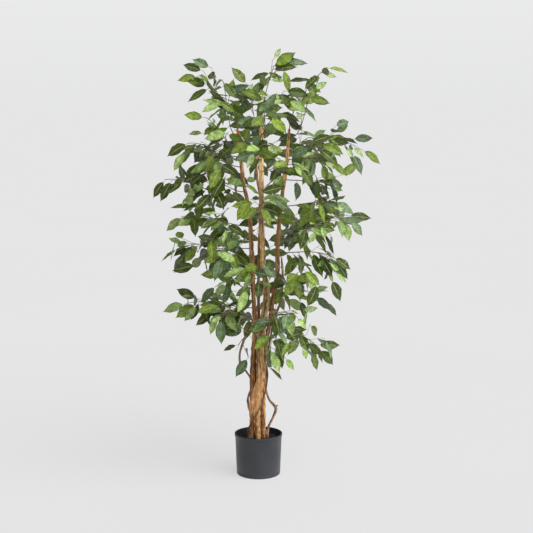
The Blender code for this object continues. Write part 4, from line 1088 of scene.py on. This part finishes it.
# Gaps of the crown that stay open, in millimetres: the middle, x and z in the plane of the stems
# as the camera sees it, and the radius
AIR_GAPS = np.array([
    (-89, 1459, 50), (-8, 1459, 43), (184, 1459, 38), (-144, 1439, 18), (266, 1371, 35), (225, 1358, 16),
    (233, 1269, 50), (157, 1269, 26), (350, 1235, 25), (296, 1119, 26), (297, 1050, 22), (131, 931, 18),
    (-105, 917, 18), (278, 882, 19), (-308, 854, 25), (111, 805, 18), (196, 692, 15), (252, 600, 39),
    (253, 500, 27), (-78, 492, 21), (-135, 471, 39), (141, 449, 18), (-107, 413, 32), (-155, 1331, 12),
    (-176, 1307, 26), (-138, 1303, 16), (140, 1280, 18), (20, 1280, 15), (-194, 1122, 12),
    (-340, 1084, 34), (-236, 1043, 12), (-257, 1025, 20), (-25, 1006, 14), (145, 910, 12),
    (275, 861, 29), (167, 833, 12), (202, 809, 12), (157, 784, 12), (186, 618, 16), (190, 474, 15),
    (50, 330, 30), (98, 1499, 15), (-124, 1344, 11), (-121, 1290, 10), (171, 1314, 11), (-136, 1098, 10),
    (139, 823, 11), (-46, 816, 10), (90, 784, 15)]) / 1000
# A leaf may reach this far into a gap
GAP_SLACK = 0.002
# Stretches of bare wood that show between the leaves: the lowest and highest z of each
BARE_WOOD = {
    "stem_left": [(0.33, 0.51), (0.565, 0.59), (0.65, 0.835), (0.875, 1.01), (1.05, 1.13), (1.155, 1.195)],
    "stem_middle": [(0.33, 0.455), (0.50, 0.53), (0.57, 0.815), (0.83, 0.85), (0.87, 0.97), (0.99, 1.065),
                    (1.09, 1.15), (1.19, 1.25)],
    "stem_right": [(0.16, 0.415), (0.51, 0.53), (0.57, 0.59), (0.615, 0.79), (0.95, 0.985), (1.13, 1.215)],
    "liana_left": [(0.350, 0.505)],
}
BARE_REACH = 0.015
CAMERA_PLACE = np.array([0.0, -4.0, 1.30])


def stand(points, faces):
    """Adds a shape to what stands in the crown: its lowest and highest corner and its tree."""
    array = np.asarray(points)
    crown.append((array.min(axis=0), array.max(axis=0), BVHTree.FromPolygons(array.tolist(), faces)))


def is_clear(points, faces):
    """Whether the shape touches nothing in the crown."""
    low, high = points.min(axis=0), points.max(axis=0)
    near = [tree for floor, roof, tree in crown if (floor < high).all() and (roof > low).all()]
    if not near:
        return True
    mine = BVHTree.FromPolygons(points.tolist(), faces)
    return not any(mine.overlap(tree) for tree in near)


def as_seen(points):
    """Where points appear to the camera in the plane y = 0.

    camera + (point - camera) * c / (c - y), with c the camera's own y.
    """
    share = CAMERA_PLACE[1] / (CAMERA_PLACE[1] - points[:, 1])
    return (CAMERA_PLACE + (points - CAMERA_PLACE) * share[:, None])[:, ::2]


bare = []
for name, stretches in BARE_WOOD.items():
    route = smooth_route(routes[name], 0.010)[:, :3]
    bare += [as_seen(route[(route[:, 2] > low) & (route[:, 2] < high)]) for low, high in stretches]
bare = np.concatenate(bare)


def fills_a_gap(points):
    """Whether the points, as the camera sees them, fill a gap that stays open or hide bare wood."""
    seen = as_seen(points)
    apart = np.linalg.norm(seen[:, None] - AIR_GAPS[None, :, :2], axis=2)
    if (apart < AIR_GAPS[:, 2] - GAP_SLACK).any():
        return True
    in_front = seen[points[:, 1] < 0.0]
    return bool((np.linalg.norm(in_front[:, None] - bare[None], axis=2) < BARE_REACH).any())


def room(place):
    """The distance from a place to the nearest thing in the crown, as far as is looked."""
    found = [tree.find_nearest(Vector(place), ROOM_LOOKED_AT)[3] for _, _, tree in crown]
    return min([distance for distance in found if distance is not None], default=ROOM_LOOKED_AT)


def crosses_a_leaf(points, faces):
    """Whether a three-sided wire touches something in the crown beyond its first three rings."""
    beyond = [[corner - 9 for corner in face] for face in faces if min(face) >= 9]
    return not is_clear(points[9:], beyond)


def side_shoots(main, draw):
    """Paths of thin shoots off the main wire, each into the roomiest of a few seeded directions.

    The start of the path and then the whole wire beyond its root have to be clear.
    """
    shoots = []
    for _ in range(SHOOTS_EACH if main[0, 2] < SHOOTS_BELOW else 0):
        fork = draw.uniform(*SHOOT_FORKS) * (len(main) - 1)
        first = int(fork)
        root = main[first] + (main[first + 1] - main[first]) * (fork - first)
        run = unit(main[first + 1] - main[first])
        outward = unit(root * (1, 1, 0))
        leans = run * 0.5 + outward * 0.5 + draw.normal(0.0, 0.55, (SHOOT_TRIES, 3))
        leans = unit(leans + UP * 0.1)
        goals = root + leans * draw.uniform(*SHOOT_LENGTH)
        best = goals[np.argmax([room(goal) for goal in goals])]
        path = arched(root, unit(run + unit(best - root)), best, TWIG_BEND, TWIG_STATIONS)
        shape = closed(swept(path, np.full((len(path), 3), SHOOT_ROOM)))
        if is_clear(path[2:], [[0, 1, 2]]) and not crosses_a_leaf(*shape):
            shoots.append(path)
            stand(*shape)
    return shoots


def leaf_corners(root, heading, facing, length, width, stalk, draw):
    """The corners of a new leaf, in the order that cad_leaves gives them.

    A point at s along the blade is neck + heading * length * s - face * droop * length * s^2.
    Its edges there are half the width times the share of its station to each side, raised by
    the fold and turned about the heading by twist * s.
    """
    droop, fold, twist = draw.uniform(0.02, 0.30), draw.uniform(0.08, 0.22), draw.uniform(-0.5, 0.5)
    face = unit(facing - heading * np.dot(facing, heading))
    side = np.cross(heading, face)
    neck = root + heading * stalk
    s = np.r_[CAD_STATIONS[1:4], CAD_KEEL_STATION, 1.0][:, None]
    centre = neck + heading * length * s - face * droop * length * s**2
    level = side * np.cos(twist * s) + face * np.sin(twist * s)
    above = face * np.cos(twist * s) - side * np.sin(twist * s)
    half = 0.5 * width * CAD_WIDTHS[::-1, None]
    left = centre[:3] + level[:3] * half + above[:3] * fold * half
    right = centre[:3] - level[:3] * half + above[:3] * fold * half
    base = [neck + side * NECK_HALF_WIDTH, neck - face * CAD_KEEL, neck - side * NECK_HALF_WIDTH]
    return np.array([centre[4], *left[::-1], *base, *right, centre[3] - above[3] * CAD_KEEL])


def bud_leaves(paths, roots, draw):
    """New leaves along the wires wherever no leaf's stalk starts near, each in a clear place."""
    taken = list(roots)
    leaves = []
    for path in paths:
        length = run_length(path)
        hand = 1
        for place in np.arange(length[-1] - BUD_REACH, BUD_BARE, -BUD_SPACING):
            behind, root, ahead = read_off(place + BUD_REACH * np.array([-1, 0, 1]), length, path)
            hand = -hand
            if min([np.linalg.norm(root - other) for other in taken], default=1.0) < BUD_APART:
                continue
            run = unit(ahead - behind)
            level = unit(np.cross(run, UP) + 1e-6)
            outward = unit(root * (1, 1, 0) + 1e-6)
            young = draw.random() < BUD_YOUNG_SHARE
            size = draw.uniform(*(BUD_YOUNG_LEAF if young else BUD_LEAF))
            width = size * draw.uniform(*BUD_WIDTH)
            for _ in range(BUD_TRIES):
                heading = run * math.cos(BUD_ANGLE) + level * hand * math.sin(BUD_ANGLE)
                heading = unit(heading + draw.normal(0.0, 0.45, 3) - UP * draw.uniform(0.1, 0.9))
                facing = UP * draw.uniform(0.1, 1.0) + outward * draw.uniform(0.0, 1.0)
                facing = facing + draw.normal(0.0, 0.55, 3)
                if np.linalg.norm(np.cross(heading, unit(facing))) < 0.35:
                    continue
                corners = leaf_corners(root, heading, facing, size, width, draw.uniform(*BUD_STALK), draw)
                neck, tip, top, under = leaf_blades(corners[None], np.random.default_rng(1))
                points = np.vstack([neck, tip, top.reshape(-1, 3), under.reshape(-1, 3)])
                if is_clear(points, one_blade) and not fills_a_gap(np.vstack([tip, top[0, 1::2, 2]])):
                    stand(points, one_blade)
                    leaves.append(corners)
                    taken.append(root)
                    break
    return np.array(leaves).reshape(-1, 11, 3)


def moved(faces, first, count, points_each):
    """The faces of one shape repeated count times, each time for the next points_each points."""
    return [[corner + first + index * points_each for corner in face]
            for index in range(count) for face in faces]


def nearest_on(line, places):
    """The point of the line that is nearest to each place."""
    return line[np.linalg.norm(places[:, None] - line[None], axis=2).argmin(axis=1)]


crown = []
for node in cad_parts:
    stand(*cad_shape(node))

for number, (name, (stem, height, *tips)) in enumerate(BRANCHES.items()):
    draw = np.random.default_rng(FIRST_SEED + number)
    goals = np.array(tips) / 1000
    paths = branch_wires(*butt_on_stem(stem, height / 1000, goals[0]), goals)
    shoots = side_shoots(paths[0][1:], draw)
    kinds = ["pale twig" if (number + index) % 3 == 0 else "twig" for index in range(len(paths))]
    kinds = ["wire", *kinds[1:], *["shoot"] * len(shoots)]
    paths += shoots
    points, faces, fine_paths, tones = [], [], [], []
    total = 0
    for path, kind in zip(paths, kinds):
        sides, ends, tone = WIRES[kind]
        radii = np.interp(np.linspace(0, 1, len(path)), (0, 1), ends)
        wire_points, wire_faces = closed(swept(path, np.repeat(radii[:, None], sides, axis=1)))
        points.append(wire_points)
        tones.append(np.tile(tone, (len(wire_points), 1)))
        faces += moved(wire_faces, total, 1, 0)
        total += len(wire_points)
        fine = np.linspace(0, len(path) - 1, FINE_STEPS * len(path))
        fine_paths.append(read_off(fine, np.arange(len(path)), path))
    on_wires = np.concatenate(fine_paths)
    corners = cad_leaves(name)
    old_roots = nearest_on(on_wires, neck_of(corners))
    corners = np.concatenate([corners, bud_leaves(paths, old_roots, draw)])
    neck, tip, top, under = leaf_blades(corners, draw)
    count = len(corners)
    heading = unit(top[:, 0, 2] - neck)
    root = nearest_on(on_wires, neck - heading * STALK_BACK)
    stalks = leaf_stalks(neck, heading, root).reshape(-1, 3)
    faces += moved(one_stalk, total, count, STALK_POINTS)
    first_blade = len(faces)
    blades = np.concatenate([neck[:, None], tip[:, None], top.reshape(count, -1, 3), under], axis=1)
    faces += moved(one_blade, total + len(stalks), count, blades.shape[1])
    points = np.concatenate([*points, stalks, blades.reshape(-1, 3)])
    branch = new_piece(name + "_leaves", points, faces, [wrapped_wire, leaf_fabric], LEAF_CREASE)
    mesh = branch.data
    is_blade = (np.arange(len(mesh.polygons)) >= first_blade).astype(np.int32)
    mesh.polygons.foreach_set("material_index", is_blade)
    leaf_colours = np.repeat(leaf_tones(corners, draw), blades.shape[1], axis=0)
    tones = np.vstack([*tones, np.tile(STALK_TONE, (len(stalks), 1)), leaf_colours])
    tones = np.column_stack([tones, np.ones(len(tones))])
    mesh.attributes.new("tint", "FLOAT_COLOR", "POINT").data.foreach_set("color", tones.ravel())
    places = np.zeros((len(mesh.loops), 2))
    places[len(places) - count * len(one_blade_places):] = np.tile(one_blade_places, (count, 1))
    mesh.uv_layers.new(name="blade").data.foreach_set("uv", places.ravel())
    set_on_frame(branch, name)

# Stage: a pale floor that runs on out of sight, a pale backdrop without a wall, soft light from
# the upper right and the camera's side, and the camera.
FLOOR_SIZE = 1200.0
FLOOR = (0.20, 0.20, 0.20)
FLOOR_WORN = (0.196, 0.196, 0.196)
FLOOR_SHADER = {"Emission Color": (1.0, 1.0, 1.0, 1.0), "Emission Strength": 0.566, "Roughness": 0.9,
                "Specular IOR Level": 0.0}
CAMERA_DOWN = 7.87
CAMERA_TURN = -0.412
CAMERA_LENS = 77.94
KEY_STRENGTH = 2.45
KEY_ANGLE = 55.0
KEY_TURN = (42.0, 0.0, 54.0)
SKY_BRIGHTEST = (0.60, -0.42, 0.68)
SKY_STRENGTHS = (0.07, 0.80)
BACKDROP_STRENGTHS = (0.788, 0.826)
BACKDROP_FADE = 0.09

edge = FLOOR_SIZE / 2
floor_points = np.array([(-edge, -edge, 0), (edge, -edge, 0), (edge, edge, 0), (-edge, edge, 0)], float)
floor_paint, tree, shader = new_finish("floor_paint")
floor_colour = colour_between(tree, mottled(tree, object_place(tree), 0.6, 2.0), FLOOR, FLOOR_WORN)
tree.links.new(floor_colour, shader.inputs["Base Color"])
for label, value in FLOOR_SHADER.items():
    shader.inputs[label].default_value = value
floor = new_piece("floor", floor_points, [[0, 1, 2, 3]], [floor_paint], 30)

world = bpy.data.worlds.new("studio")
bpy.context.scene.world = world
world.use_nodes = True
tree = world.node_tree
tree.nodes.clear()
toward = add_node(tree, "TexCoord", {}).outputs["Generated"]
key = add_node(tree, "VectorMath", {0: toward, 1: SKY_BRIGHTEST}, operation="DOT_PRODUCT").outputs["Value"]
rise = add_node(tree, "SeparateXYZ", {0: toward}).outputs[2]
glow = in_range(tree, key, -0.5, 1.0, *SKY_STRENGTHS)
wall = in_range(tree, rise, 0.0, BACKDROP_FADE, *BACKDROP_STRENGTHS)
sky = add_node(tree, "Background", {"Color": (1.0, 1.0, 1.0, 1.0), "Strength": glow})
backdrop = add_node(tree, "Background", {"Color": (0.995, 0.998, 1.0, 1.0), "Strength": wall})
seen = add_node(tree, "LightPath", {}).outputs["Is Camera Ray"]
both = add_node(tree, "MixShader", {0: seen, 1: sky.outputs[0], 2: backdrop.outputs[0]})
add_node(tree, "OutputWorld", {"Surface": both.outputs[0]})

key_light = bpy.data.lights.new("key", "SUN")
key_light.energy = KEY_STRENGTH
key_light.angle = math.radians(KEY_ANGLE)
key_lamp = bpy.data.objects.new("key", key_light)
key_lamp.rotation_euler = [math.radians(turn) for turn in KEY_TURN]
bpy.context.scene.collection.objects.link(key_lamp)

camera = bpy.data.objects.new("camera", bpy.data.cameras.new("camera"))
camera.location = CAMERA_PLACE
camera.rotation_euler = (math.radians(90 - CAMERA_DOWN), 0.0, math.radians(CAMERA_TURN))
camera.data.sensor_width = 36.0
camera.data.lens = CAMERA_LENS
bpy.context.scene.collection.objects.link(camera)
bpy.context.scene.camera = camera
bpy.context.scene.view_settings.view_transform = "Standard"
